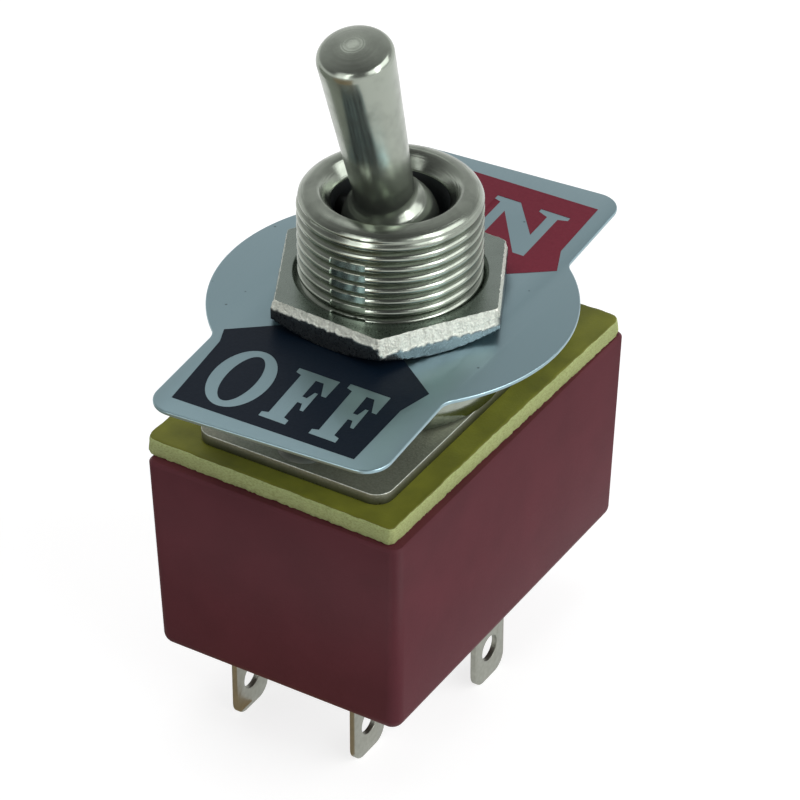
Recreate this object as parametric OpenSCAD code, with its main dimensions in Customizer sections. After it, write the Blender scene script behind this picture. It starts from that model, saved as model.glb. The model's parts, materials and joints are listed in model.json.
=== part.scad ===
// Panel toggle switch: two poles, on-off, held by its threaded bush, with solder lugs.
// Z runs along the bush. The origin is on the bush axis, at the front face of the front nut.
// The lever swings along X: it leans to -X at OFF and to +X at ON.
// The poles lie side by side along Y: seen from the OFF end, left is +Y and right is -Y.

/* [Bush] */
// Outside diameter of the bush thread
thread_d = 12; // [11.8:0.1:12.4]
// Pitch of the bush thread
thread_pitch = 0.8; // [0.7:0.05:0.9]
// Height of the bush above the front nut
bush_rise = 6.3; // [6:0.1:9]
// Rounding of the rim's outer edge
rim_round = 1; // [0.3:0.1:1]
// Bore around the lever's ball
mouth_d = 7.6; // [7:0.1:8]
// Flare of the bore at the rim, measured on the radius
flare_w = 0.6; // [0.2:0.1:0.8]
// Depth of the flare
flare_h = 1; // [0.5:0.1:1.5]
// Bore below the ball, which the tail swings in
bore_d = 9.4; // [9.2:0.1:9.6]
// Width of the keyway
key_w = 2.5; // [1.5:0.1:3]
// Depth of the keyway
key_depth = 0.4; // [0.3:0.1:0.7]
// Height of the keyway's closed end above the front nut
key_rise = 4.2; // [3:0.1:5]
// Diameter of the flange that sits on the mounting plate
flange_d = 14.8; // [13.6:0.1:16]
// Thickness of the flange
flange_t = 2.5; // [1.6:0.1:3]
// Wall of the spigot that is riveted over below the plate
spigot_wall = 0.7; // [0.4:0.1:0.9]
// Width of the rolled lip, measured on the radius
lip_w = 0.5; // [0.3:0.1:0.7]
// Thickness of the rolled lip
lip_t = 0.4; // [0.2:0.1:0.6]

/* [Nuts, washer and label] */
// Size of both nuts across their flats
nut_af = 14.6; // [14.2:0.1:16]
// Thickness of each nut
nut_t = 2.1; // [1.8:0.1:2.6]
// Angle of the front nut's first corner
front_nut_turn = 27; // [0:1:59]
// Angle of the back nut's first corner
back_nut_turn = 12; // [0:1:59]
// Bevel at the corners of the nut's seating face, measured on the height
nut_bevel = 0.7; // [0.3:0.05:0.8]
// Break of the corners on the nut's other face
nut_break = 0.3; // [0.1:0.05:0.4]
// Width of the countersink in each nut's thread
nut_sink = 0.55; // [0.3:0.05:0.8]
// Outside diameter of the lock washer
washer_d = 17; // [16:0.1:18]
// Sheet thickness of the lock washer
washer_t = 0.5; // [0.4:0.05:0.6]
// Height that the twisted teeth take up
washer_h = 0.8; // [0.75:0.05:1]
// Number of teeth in the lock washer
tooth_count = 12; // [8:1:14]
// Thickness of the label plate
label_t = 0.3; // [0.3:0.1:1]
// Diameter of the label's round middle
label_d = 24.1; // [23:0.1:26]
// Length of the label over its two tabs
label_len = 35.5; // [34:0.1:38]
// Width of the label's tabs
tab_w = 16.5; // [14:0.1:18]
// Corner radius of the label's tabs
tab_r = 1.8; // [0.5:0.1:3]
// Radius of the hollow between tab and middle
neck_r = 1.4; // [0.5:0.1:2]
// How far the label's hole is punched off centre, towards the ON end
label_off_x = 0.15; // [-0.3:0.05:0.3]
// How far the label's hole is punched off centre, towards the left
label_off_y = 0.25; // [-0.3:0.05:0.3]
// Turn of the label and the keyway about the bush
label_turn = 4; // [0:1:8]

/* [Lever] */
// Height of the lever's pivot above the front nut
pivot_rise = 3.6; // [3.4:0.1:4]
// Lean of the lever either side of upright
lever_lean = 16; // [13:0.5:16]
// Length from the pivot to the edge of the tip
lever_len = 14.8; // [13:0.1:22]
// Diameter of the lever at its tip
tip_d = 4.9; // [4.4:0.1:5.6]
// Diameter of the lever where it leaves the ball
neck_d = 3.9; // [3.4:0.1:4.2]
// Rounding of the tip's edge
tip_round = 0.4; // [0.2:0.1:0.8]
// Rise of the crowned end
crown_h = 0.45; // [0.2:0.05:0.9]
// Diameter of the ball
ball_d = 6.4; // [5.8:0.1:6.6]
// Thickness of the flattened tail
tail_t = 1.5; // [1.2:0.1:1.6]
// Width of the tail
tail_w = 2.8; // [2.2:0.1:3]
// Diameter of the pivot pin
pin_d = 1.5; // [1.2:0.1:1.7]
// Length of the pivot pin
pin_len = 9.8; // [9:0.1:10]
// Height of the ring that keeps the pin in its grooves
keeper_h = 2; // [1:0.1:3]
// Bore of the keeper ring
keeper_bore = 7; // [6.8:0.1:8]
// Distance from the pivot down to the top of the actuator
actuator_top = 15.1; // [14.9:0.1:15.3]
// Plastic below the end of the tail
tail_cover = 1.9; // [1.5:0.1:2.4]

/* [Mounting plate and board] */
// Length of the mounting plate
plate_len = 24.8; // [24.4:0.1:27]
// Width of the mounting plate
plate_w = 14.2; // [13:0.1:16.5]
// Thickness of the mounting plate
plate_t = 0.8; // [0.6:0.1:1.5]
// Corner radius of the mounting plate
plate_r = 1.2; // [0.5:0.1:2]
// Distance of each rivet from the end of the mounting plate
rivet_inset = 2.1; // [1.8:0.1:2.2]
// Thickness of the insulating board
board_t = 1.2; // [0.8:0.1:2]
// Step from each end of the housing in to the board's end
board_inset_x = 0.25; // [0.1:0.05:0.8]
// Step from each side of the housing in to the board's side
board_inset_y = 0.1; // [0.1:0.05:0.8]
// How far the board sits off centre along the housing
board_shift_x = 0.35; // [0:0.05:0.4]
// How far the board sits off centre across the housing
board_shift_y = 0.4; // [0:0.05:0.5]
// Turn of the board on the housing, clockwise
board_turn = 1; // [0:0.5:1.5]
// Corner radius of the board
board_r = 1.2; // [0.5:0.1:2]

/* [Housing] */
// Length of the housing at its top
case_len = 29.1; // [28.8:0.1:32]
// Width of the housing at its top
case_w = 19.1; // [18.9:0.1:22]
// Height of the housing
case_h = 14.9; // [14.6:0.1:18]
// Draft of each side, measured at the bottom
case_draft = 0.33; // [0.1:0.01:0.4]
// Radius of the upright edges
case_r = 0.8; // [0.4:0.1:1.4]
// Radius of the bottom edges
case_foot_r = 0.9; // [0.4:0.1:1]
// Thickness of the walls at the top
wall_t = 1.7; // [1.4:0.1:1.8]
// Thickness of the floor
floor_t = 2.3; // [1.5:0.1:2.6]
// Thickness of the partition between the poles
partition_t = 1.2; // [0.8:0.1:1.8]
// Diameter of the two bosses that the rivets pass through
boss_d = 4; // [3.6:0.1:4.4]
// Diameter of the rivets
rivet_d = 2.2; // [1.6:0.1:2.4]
// Diameter of the rivets' heads
rivet_head_d = 3.6; // [3:0.1:3.8]
// Height of the rivets' heads
rivet_head_h = 0.6; // [0.4:0.1:0.9]

/* [Contacts] */
// Distance of each pole from the middle
pole_y = 3.8; // [3.7:0.1:4]
// Height of the rocker's pivot above the floor
rocker_h = 2.9; // [2.6:0.1:3.1]
// Thickness of the rocker's strip
rocker_t = 0.7; // [0.5:0.1:0.9]
// Width of the rocker
rocker_w = 3; // [2.6:0.1:3.2]
// Tilt of the rocker either side of level
rocker_tilt = 6; // [4:0.5:6]
// Angle that each half of the rocker's curved seat spans
seat_span = 35; // [34:1:36]
// Length of the rocker's flat ends
rocker_tab = 3.4; // [3:0.1:3.6]
// Diameter of the rocker's trunnions
trunnion_d = 0.8; // [0.6:0.1:1]
// Diameter of the silver contacts
contact_d = 2; // [1.4:0.1:2.2]
// Thickness of the silver contacts
contact_t = 0.5; // [0.3:0.1:0.7]
// Diameter of the contacts' shanks
shank_d = 1; // [0.6:0.1:1.1]
// Diameter of the plungers
plunger_d = 3; // [2.4:0.1:3.2]
// Bore of the plungers, which holds the spring
plunger_bore = 2; // [1.9:0.1:2.1]
// Inward travel of each plunger
plunger_travel = 0.6; // [0.3:0.1:0.8]
// How far the centre of a plunger's round nose stands out of the actuator
plunger_show = 1.1; // [1:0.1:1.4]
// Thickness of the plunger behind the centre of its nose
plunger_web = 0.5; // [0.3:0.1:0.8]
// Wall around the plungers in the actuator
barrel_wall = 0.85; // [0.6:0.05:1]
// Roof over the plungers in the actuator
barrel_roof = 0.6; // [0.5:0.1:0.8]
// Wire diameter of the plunger springs
wire_d = 0.3; // [0.2:0.02:0.36]
// Turns of each plunger spring
spring_turns = 6; // [4:1:8]

/* [Terminals] */
// Sheet thickness of the terminals
sheet_t = 0.4; // [0.3:0.05:0.5]
// Width of the solder lugs
lug_w = 3.7; // [3:0.1:4]
// Length of the solder lugs below the housing
lug_len = 5.7; // [5:0.1:9]
// Diameter of the hole in each lug
lug_hole_d = 1.9; // [1.2:0.1:2.2]
// Height of the hole's centre above the lug's tip
lug_hole_h = 2.45; // [2.2:0.05:3.4]
// Corner radius of the lugs
lug_r = 1.1; // [0.5:0.1:1.4]
// Distance of the common lugs' outer face from the middle
common_y = 7.6; // [7.5:0.05:7.65]
// How far the common lugs sit towards the ON end
common_x = 0.3; // [-0.3:0.1:0.3]
// Distance of the line lugs' outer edge from the middle
line_x = 12.3; // [12.1:0.1:12.5]
// Extra width of a line terminal above the floor, which seats it
line_shoulder = 0.8; // [0.4:0.1:1.2]

/* [Clearances] */
// Gap round parts that are assembled and stay put
fit_gap = 0.02; // [0.01:0.01:0.05]
// Gap round parts that turn or slide
run_gap = 0.05; // [0.03:0.01:0.08]
// Gap round parts that pass loosely through a hole
loose_gap = 0.1; // [0.05:0.01:0.2]
// Gap left between faces that meet in use
touch_gap = 0.1; // [0.06:0.01:0.15]

/* [Hidden] */
$fn = 64;
LEFT = 1;
RIGHT = -1;
// Small overlap of a cutter past the face it cuts
eps = 0.1;

// Heights, stacked down from the front nut's front face
label_top = -nut_t;
washer_top = label_top - label_t;
back_nut_top = washer_top - washer_h;
flange_top = back_nut_top - nut_t;
plate_top = flange_top - flange_t;
board_top = plate_top - plate_t;
case_top = board_top - board_t;
case_bottom = case_top - case_h;
floor_top = case_bottom + floor_t;

// Bush: a 60 degree thread's pitch line lies this share of the pitch below its crest
PITCH_LINE = 0.325;
thread_r = thread_d / 2;
engaged_r = thread_r - PITCH_LINE * thread_pitch;
spigot_r = bore_d / 2 + spigot_wall;
lip_r = spigot_r + lip_w;
keeper_top = pivot_rise - pin_d / 2 - run_gap;

// Lever, measured along its own axis from the pivot
rocker_z = floor_top + rocker_h;
tip_ball_r = plunger_d / 2;
plunger_arm = pivot_rise - rocker_z - rocker_t / 2 - touch_gap - tip_ball_r;
actuator_bottom = plunger_arm - plunger_show;
tail_end = actuator_bottom - tail_cover;
barrel_end = actuator_top + barrel_roof;
plunger_top = barrel_end + plunger_travel + touch_gap;
cup_floor = plunger_arm - plunger_web;
// Sweep of the rounding at the lever's tip, up to where the crowned end takes over
TIP_SWEEP = 75;

// Rocker: the seat's radius keeps the gap under the plunger even over the swing
gear = rocker_tilt / lever_lean;
seat_rise = pivot_rise - rocker_z - plunger_arm;
path_r = pow(plunger_arm - gear * seat_rise, 2)
    / (plunger_arm * (1 + 2 * gear) - gear * gear * seat_rise);
seat_r = path_r + tip_ball_r + touch_gap;
seat_end = [seat_r * sin(seat_span), rocker_t / 2 + seat_r * (1 - cos(seat_span))];
contact_margin = 0.4;
contact_along = rocker_tab - contact_d / 2 - contact_margin;
// The flat end's upper face when it is down and level, above the rocker's pivot
down_top = seat_end[1] * cos(rocker_tilt) - seat_end[0] * sin(rocker_tilt);
down_x = seat_end[0] * cos(rocker_tilt) + seat_end[1] * sin(rocker_tilt);
contact_x = down_x + contact_along;
bracket_z = rocker_z + down_top - rocker_t - contact_t - touch_gap - contact_t;
stop_z = rocker_z + down_top - rocker_t - touch_gap;

// Housing
room_len = case_len - 2 * wall_t;
room_w = case_w - 2 * wall_t;
partition_gap = 0.6;
partition_top = pivot_rise - actuator_bottom - partition_gap;

// Outer face of the line lugs: just outside the fixed contact's shank
line_out = pole_y + shank_d / 2 + loose_gap + sheet_t;

// Rivets: their distance from the middle, the ball that the domed head is cut from, and the
// flared tail in the housing's foot
rivet_x = plate_len / 2 - rivet_inset;
rivet_ball_r = (pow(rivet_head_d / 2, 2) + pow(rivet_head_h, 2)) / (2 * rivet_head_h);
rivet_tail_h = 0.6;
rivet_sink_h = 0.7;

// ---- Shared shapes ----

module rounded_rect(length, width, radius) {
    square([length - 2 * radius, width], center = true);
    square([length, width - 2 * radius], center = true);
    for (x = [-1, 1], y = [-1, 1])
        translate([x * (length / 2 - radius), y * (width / 2 - radius)])
            circle(r = radius);
}

// Turns a shape drawn upright on the pivot to the lever's lean at OFF
module on_lever() {
    translate([0, 0, pivot_rise])
        rotate([0, -lever_lean, 0])
            children();
}

// Places a shape on a rocker, which is tilted with its ON side up at OFF
module on_rocker(side) {
    translate([0, side * pole_y, rocker_z])
        rotate([0, rocker_tilt, 0])
            children();
}

// Extrudes a shape drawn in X and Z along Y, centred
module along_y(width) {
    rotate([90, 0, 0])
        linear_extrude(height = width, center = true)
            children();
}

// ---- Bush, nuts, washer and label ----

// Half section of the bush: radius, then height
function rim_arc(steps = 8) = [
    for (i = [0 : steps])
        [thread_r - rim_round + rim_round * cos(90 * i / steps),
         bush_rise - rim_round + rim_round * sin(90 * i / steps)]
];

function bush_section() = concat(
    [
        [bore_d / 2, board_top - lip_t],
        [lip_r, board_top - lip_t],
        [lip_r, board_top],
        [spigot_r, board_top],
        [spigot_r, plate_top],
        [flange_d / 2, plate_top],
        [flange_d / 2, flange_top],
        [engaged_r, flange_top],
        [engaged_r, back_nut_top + eps],
        [thread_r, back_nut_top + eps],
        [thread_r, label_top - eps],
        [engaged_r, label_top - eps],
        [engaged_r, 0],
        [thread_r, 0]
    ],
    rim_arc(),
    [
        [mouth_d / 2 + flare_w, bush_rise],
        [mouth_d / 2, bush_rise - flare_h],
        [mouth_d / 2, keeper_top],
        [bore_d / 2, keeper_top]
    ]
);

// Grooves in the bore, open downward, that the ends of the pivot pin turn in
module pin_grooves() {
    width = pin_d + 2 * run_gap;
    length = pin_len + 2 * loose_gap;
    translate([0, 0, pivot_rise])
        rotate([90, 0, 0])
            cylinder(d = width, h = length, center = true);
    translate([-width / 2, -length / 2, keeper_top])
        cube([width, length, pivot_rise - keeper_top]);
}

module bush() {
    // The turned surface starts and ends here, well clear of the keyway and the pin's grooves
    seam_turn = 45;
    color("#8f938a")
    difference() {
        rotate([0, 0, seam_turn])
            rotate_extrude() polygon(bush_section());
        pin_grooves();
        rotate([0, 0, label_turn])
            translate([-thread_r - eps, -key_w / 2, flange_top])
                cube([key_depth + eps, key_w, key_rise - flange_top]);
    }
}

// Ring pressed into the bore under the pivot pin
module pin_keeper() {
    color("#9a9a92")
    translate([0, 0, keeper_top - keeper_h])
        difference() {
            cylinder(r = bore_d / 2 - fit_gap, h = keeper_h - fit_gap);
            translate([0, 0, -eps])
                cylinder(d = keeper_bore, h = keeper_h + 2 * eps);
        }
}

// Hexagonal nut standing on z = 0, which is its bevelled seating face
module hex_nut(turn) {
    corner_r = nut_af / 2 / cos(30);
    seat_inset = 0.1;
    seat_face_r = nut_af / 2 - seat_inset;
    hole_r = engaged_r + fit_gap;
    difference() {
        rotate([0, 0, turn])
            intersection() {
                cylinder(r = corner_r, h = nut_t, $fn = 6);
                rotate_extrude()
                    polygon([
                        [0, 0], [seat_face_r, 0], [corner_r, nut_bevel],
                        [corner_r + eps, nut_bevel], [corner_r + eps, nut_t - nut_break],
                        [corner_r, nut_t - nut_break], [corner_r - nut_break, nut_t], [0, nut_t]
                    ]);
            }
        translate([0, 0, -eps])
            cylinder(r = hole_r, h = nut_t + 2 * eps);
        for (face = [0, 1])
            translate([0, 0, face * nut_t])
                mirror([0, 0, face])
                    cylinder(r1 = hole_r + nut_sink, r2 = hole_r, h = nut_sink);
    }
}

module front_nut() {
    color("#8c8f84")
    translate([0, 0, -nut_t]) hex_nut(front_nut_turn);
}

module back_nut() {
    color("#8c8f84")
    translate([0, 0, flange_top]) hex_nut(back_nut_turn);
}

// Spring-steel washer whose inner teeth are twisted out of flat
module lock_washer() {
    ring_w = 1.4;
    tooth_w = 1.5;
    tooth_root = 0.3;
    tooth_twist = 10;
    ring_in = washer_d / 2 - ring_w;
    tooth_in = thread_r + 1.5 * loose_gap;
    color("#7d7f78")
    translate([0, 0, back_nut_top + washer_h / 2]) {
        difference() {
            cylinder(d = washer_d, h = washer_t, center = true);
            cylinder(r = ring_in, h = washer_t + 2 * eps, center = true);
        }
        for (i = [0 : tooth_count - 1])
            rotate([0, 0, (i + 0.5) * 360 / tooth_count])
                rotate([tooth_twist, 0, 0])
                    translate([tooth_in, -tooth_w / 2, -washer_t / 2])
                        cube([ring_in - tooth_in + tooth_root, tooth_w, washer_t]);
    }
}

// Points along an arc, from one angle to another
function arc(centre, radius, from, to, steps) = [
    for (i = [0 : steps])
        let (angle = from + (to - from) * i / steps)
        centre + radius * [cos(angle), sin(angle)]
];

// The same points in reverse order, with x and y scaled by 1 or -1
function mirrored(points, x, y) = [
    for (i = [len(points) - 1 : -1 : 0])
        [x * points[i][0], y * points[i][1]]
];

// One quarter of the label: a tab's corner, the hollow beside it and a stretch of the middle
function label_quarter() =
    let (
        middle_r = label_d / 2,
        hollow_y = tab_w / 2 + neck_r,
        hollow_x = sqrt(pow(middle_r + neck_r, 2) - pow(hollow_y, 2)),
        joint = atan2(hollow_y, hollow_x),
        skip = 2
    )
    concat(
        arc([label_len / 2 - tab_r, tab_w / 2 - tab_r], tab_r, 0, 90, 8),
        arc([hollow_x, hollow_y], neck_r, 270, 180 + joint, 6),
        arc([0, 0], middle_r, joint + skip, 90 - skip, 16)
    );

function label_outline() =
    let (quarter = label_quarter())
    concat(quarter, mirrored(quarter, -1, 1), -quarter, mirrored(quarter, 1, -1));

module label_plate() {
    hole_r = thread_r + loose_gap;
    tongue_w = key_w - 2 * loose_gap;
    tongue_in = thread_r - key_depth + loose_gap;
    color("#8ea4a6")
    translate([0, 0, washer_top])
        rotate([0, 0, label_turn])
            linear_extrude(height = label_t)
                difference() {
                    translate([-label_off_x, -label_off_y]) polygon(label_outline());
                    difference() {
                        circle(r = hole_r);
                        translate([-hole_r - eps, -tongue_w / 2])
                            square([hole_r + eps - tongue_in, tongue_w]);
                    }
                }
}

// ---- Lever ----

function tip_section(steps = 6) = [
    for (i = [0 : steps])
        [tip_d / 2 - tip_round + tip_round * cos(TIP_SWEEP * i / steps),
         lever_len + tip_round * sin(TIP_SWEEP * i / steps)]
];

function crown_section(steps = 6) = [
    for (i = [1 : steps])
        [(tip_d / 2 - tip_round) * cos(90 * i / steps),
         lever_len + tip_round * sin(TIP_SWEEP) + crown_h * sin(90 * i / steps)]
];

module lever() {
    neck_s = sqrt(pow(ball_d / 2, 2) - pow(neck_d / 2, 2)) - eps;
    color("#999b91")
    on_lever()
        difference() {
            union() {
                sphere(d = ball_d);
                rotate_extrude()
                    polygon(concat(
                        [[0, neck_s], [neck_d / 2, neck_s]],
                        tip_section(),
                        crown_section()
                    ));
                intersection() {
                    translate([0, 0, -tail_end])
                        cylinder(d = tail_w, h = tail_end);
                    translate([-tail_t / 2, -tail_w / 2, -tail_end])
                        cube([tail_t, tail_w, tail_end]);
                }
            }
            rotate([90, 0, 0])
                cylinder(d = pin_d + 2 * fit_gap, h = ball_d + 2 * eps, center = true);
        }
}

module pivot_pin() {
    color("#b5b5ae")
    on_lever()
        rotate([90, 0, 0])
            cylinder(d = pin_d, h = pin_len, center = true);
}

// Moulded block on the lever's tail, with a barrel for each plunger
module actuator() {
    barrel_r = plunger_d / 2 + run_gap + barrel_wall;
    web_t = tail_t + 2 * barrel_wall;
    height = actuator_bottom - actuator_top;
    color("#2b2724")
    on_lever()
        translate([0, 0, -actuator_bottom])
            difference() {
                union() {
                    for (side = [LEFT, RIGHT])
                        translate([0, side * pole_y, 0])
                            cylinder(r = barrel_r, h = height);
                    translate([-web_t / 2, -pole_y, 0])
                        cube([web_t, 2 * pole_y, height]);
                }
                for (side = [LEFT, RIGHT])
                    translate([0, side * pole_y, -eps])
                        cylinder(r = plunger_d / 2 + run_gap, h = height - barrel_roof + eps);
                translate([0, 0, actuator_bottom - tail_end - fit_gap])
                    intersection() {
                        cylinder(d = tail_w + 2 * fit_gap, h = height);
                        translate([-tail_t / 2 - fit_gap, -tail_w, 0])
                            cube([tail_t + 2 * fit_gap, 2 * tail_w, height]);
                    }
            }
}

// Round-nosed cup that slides in the actuator and presses on the rocker
module plunger(side) {
    color("#e0d8c0")
    on_lever()
        translate([0, side * pole_y, -plunger_arm])
            difference() {
                union() {
                    sphere(r = tip_ball_r);
                    cylinder(d = plunger_d, h = plunger_arm - plunger_top);
                }
                translate([0, 0, plunger_arm - cup_floor])
                    cylinder(d = plunger_bore, h = cup_floor - plunger_top + eps);
            }
}

// Height of the spring's wire at turn n: closed first and last turns, open between them
function spring_z(n, turns, height) =
    n < 1 ? n * wire_d
    : n > turns - 1 ? height - (turns - n) * wire_d
    : wire_d + (n - 1) / (turns - 2) * (height - 2 * wire_d);

module coil(turns, height, radius) {
    sides = 6;
    steps = 14;
    count = turns * steps;
    points = [
        for (i = [0 : count], k = [0 : sides - 1])
            let (
                angle = 360 * i / steps,
                out = radius + wire_d / 2 * cos(360 * k / sides),
                up = spring_z(i / steps, turns, height) + wire_d / 2 * sin(360 * k / sides)
            )
            [out * cos(angle), out * sin(angle), up]
    ];
    skin = [
        for (i = [0 : count - 1], k = [0 : sides - 1])
            [i * sides + k, i * sides + (k + 1) % sides,
             (i + 1) * sides + (k + 1) % sides, (i + 1) * sides + k]
    ];
    ends = [
        [for (k = [0 : sides - 1]) sides - 1 - k],
        [for (k = [0 : sides - 1]) count * sides + k]
    ];
    polyhedron(points = points, faces = concat(skin, ends));
}

module plunger_spring(side) {
    room = cup_floor - barrel_end;
    color("#c8c8c8")
    on_lever()
        translate([0, side * pole_y, -cup_floor + wire_d / 2 + fit_gap])
            coil(spring_turns, room - wire_d - 2 * fit_gap,
                 plunger_bore / 2 - wire_d / 2 - loose_gap);
}

// ---- Contacts and terminals ----

// Side view of the rocker: a curved seat with a flat end on each side
module rocker_profile() {
    reach = 2 * seat_r;
    translate([0, rocker_t / 2 + seat_r])
        intersection() {
            difference() {
                circle(r = seat_r + rocker_t, $fn = 256);
                circle(r = seat_r, $fn = 256);
            }
            polygon([
                [0, 0], [-reach * tan(seat_span), -reach], [reach * tan(seat_span), -reach]
            ]);
        }
    for (x = [0, 1])
        mirror([x, 0])
            translate(seat_end)
                rotate(rocker_tilt)
                    translate([0, -rocker_t])
                        square([rocker_tab, rocker_t]);
}

// Turns a shape drawn above a flat end to that end, on the ON side or the OFF side
module on_rocker_end() {
    mirror([1, 0, 0])
        translate([seat_end[0], 0, seat_end[1]])
            rotate([0, -rocker_tilt, 0])
                translate([contact_along, 0, 0])
                    children();
}

module rocker(side) {
    color("#c08a4a")
    on_rocker(side)
        difference() {
            union() {
                along_y(rocker_w) rocker_profile();
                rotate([90, 0, 0])
                    cylinder(d = trunnion_d, h = rocker_w + 2 * run_gap + 2 * sheet_t, center = true);
            }
            on_rocker_end()
                translate([0, 0, -rocker_t - eps])
                    cylinder(d = shank_d + 2 * fit_gap, h = rocker_t + 2 * eps);
        }
}

// Silver rivet: a flat button with its shank above it
module contact_rivet(shank_len) {
    cylinder(d = contact_d, h = contact_t);
    cylinder(d = shank_d, h = contact_t + shank_len);
}

module moving_contact(side) {
    color("#d9dce0")
    on_rocker(side)
        on_rocker_end()
            translate([0, 0, -rocker_t - contact_t])
                contact_rivet(rocker_t);
}

module fixed_contact(side) {
    color("#d9dce0")
    translate([-contact_x, side * pole_y, bracket_z + contact_t])
        mirror([0, 0, 1])
            contact_rivet(sheet_t);
}

// Outline of a solder lug, from its tip up to a given height, with its hole
module lug_outline(height) {
    difference() {
        union() {
            translate([-lug_w / 2, lug_r]) square([lug_w, height - lug_r]);
            translate([-lug_w / 2 + lug_r, 0]) square([lug_w - 2 * lug_r, height]);
            for (x = [-1, 1])
                translate([x * (lug_w / 2 - lug_r), lug_r]) circle(r = lug_r);
        }
        translate([0, lug_hole_h]) circle(d = lug_hole_d);
    }
}

// Lug that drops straight through the floor from a foot, whose two ears carry the rocker
module common_terminal(side) {
    ear_w = 3;
    ear_rise = 1;
    ear_h = rocker_h + ear_rise;
    ear_in = pole_y - rocker_w / 2 - run_gap - sheet_t;
    ear_out = pole_y + rocker_w / 2 + run_gap;
    slot_w = trunnion_d + 2 * run_gap;
    lug_tip = case_bottom - lug_len;
    color("#c9b06a")
    mirror([0, side == LEFT ? 0 : 1, 0]) {
        translate([common_x, common_y - sheet_t / 2, lug_tip])
            along_y(sheet_t) lug_outline(floor_top + sheet_t - lug_tip);
        translate([common_x - lug_w / 2, ear_in, floor_top])
            cube([lug_w, common_y - ear_in, sheet_t]);
        for (y = [ear_in, ear_out])
            translate([0, y + sheet_t / 2, floor_top])
                along_y(sheet_t)
                    difference() {
                        translate([-ear_w / 2, 0])
                            square([ear_w, ear_h]);
                        translate([0, rocker_h]) circle(d = slot_w);
                        translate([-slot_w / 2, rocker_h])
                            square([slot_w, ear_rise + eps]);
                    }
    }
}

// Lug that rises through the floor and bends over into the bracket of the fixed contact
module line_terminal(side) {
    lug_tip = case_bottom - lug_len;
    blade_w = lug_w + line_shoulder;
    centre_x = line_x - lug_w / 2;
    contact_edge = contact_d / 2 + 0.25;
    bracket_in = pole_y - contact_edge;
    bracket_x = contact_x - contact_edge;
    color("#c9b06a")
    mirror([0, side == LEFT ? 0 : 1, 0]) {
        translate([-centre_x, line_out - sheet_t / 2, lug_tip])
            along_y(sheet_t) lug_outline(floor_top - lug_tip + eps);
        translate([-centre_x - blade_w / 2, line_out - sheet_t, floor_top])
            cube([blade_w, sheet_t, bracket_z - floor_top]);
        difference() {
            translate([-centre_x - blade_w / 2, bracket_in, bracket_z - sheet_t])
                cube([centre_x + blade_w / 2 - bracket_x, line_out - bracket_in, sheet_t]);
            translate([-contact_x, pole_y, bracket_z - sheet_t - eps])
                cylinder(d = shank_d + 2 * fit_gap, h = sheet_t + 2 * eps);
        }
    }
}

// ---- Plate, board and housing ----

module mounting_plate() {
    color("#95968a")
    translate([0, 0, board_top])
        difference() {
            linear_extrude(height = plate_t) rounded_rect(plate_len, plate_w, plate_r);
            translate([0, 0, -eps])
                cylinder(r = spigot_r + fit_gap, h = plate_t + 2 * eps);
            rivet_holes(-eps, plate_t + eps);
        }
}

module insulating_board() {
    color("#7d7c38")
    translate([0, 0, case_top])
        difference() {
            linear_extrude(height = board_t)
                translate([board_shift_x, board_shift_y])
                    rotate(-board_turn)
                        rounded_rect(case_len - 2 * board_inset_x, case_w - 2 * board_inset_y,
                                     board_r);
            translate([0, 0, -eps])
                cylinder(r = lip_r + loose_gap, h = board_t + 2 * eps);
            rivet_holes(-eps, board_t + eps);
        }
}

// Holes for both rivets, from one height to another
module rivet_holes(low, high) {
    for (x = [-1, 1])
        translate([x * rivet_x, 0, low])
            cylinder(d = rivet_d + 2 * fit_gap, h = high - low);
}

// Outside of the housing: drafted sides, rounded upright edges and a rounded foot
module case_block() {
    edge = 0.2;
    skin = 0.01;
    top_x = case_len / 2 - case_r;
    top_y = case_w / 2 - case_r;
    foot_x = case_len / 2 - case_draft - case_foot_r;
    foot_y = case_w / 2 - case_draft - case_foot_r;
    hull()
        for (x = [-1, 1], y = [-1, 1]) {
            translate([x * top_x, y * top_y, case_top - skin])
                cylinder(r = case_r - edge, h = skin, $fn = 32);
            translate([x * top_x, y * top_y, case_top - edge])
                cylinder(r = case_r, h = skin, $fn = 32);
            translate([x * foot_x, y * foot_y, case_bottom + case_foot_r])
                sphere(r = case_foot_r, $fn = 32);
        }
}

// Slot in the floor for a lug centred at x and y
module lug_slot(x, y) {
    width = lug_w + 2 * fit_gap;
    depth = sheet_t + 2 * fit_gap;
    translate([x - width / 2, y - depth / 2, case_bottom - eps])
        cube([width, depth, floor_t + 2 * eps]);
}

module housing() {
    post_x = contact_x - contact_d / 2;
    color("#4f2b2e")
    difference() {
        union() {
            difference() {
                case_block();
                translate([-room_len / 2, -room_w / 2, floor_top])
                    cube([room_len, room_w, case_top - floor_top + eps]);
            }
            translate([-rivet_x, -partition_t / 2, floor_top - eps])
                cube([2 * rivet_x, partition_t, partition_top - floor_top + eps]);
            for (x = [-1, 1]) {
                translate([x * rivet_x, 0, floor_top - eps])
                    cylinder(d = boss_d, h = case_top - floor_top + eps);
                translate([x * (rivet_x + room_len / 2) / 2, 0, (floor_top + case_top) / 2])
                    cube([room_len / 2 - rivet_x + eps, partition_t, case_top - floor_top],
                         center = true);
            }
            for (y = [-1, 1])
                translate([post_x, y * pole_y - contact_d / 2, floor_top - eps])
                    cube([contact_d, contact_d, stop_z - floor_top + eps]);
        }
        rivet_holes(case_bottom - eps, case_top + eps);
        for (x = [-1, 1])
            translate([x * rivet_x, 0, case_bottom - fit_gap])
                cylinder(r1 = rivet_head_d / 2, r2 = rivet_d / 2, h = rivet_sink_h);
        for (y = [-1, 1]) {
            lug_slot(common_x, y * (common_y - sheet_t / 2));
            lug_slot(-(line_x - lug_w / 2), y * (line_out - sheet_t / 2));
        }
    }
}

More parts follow.
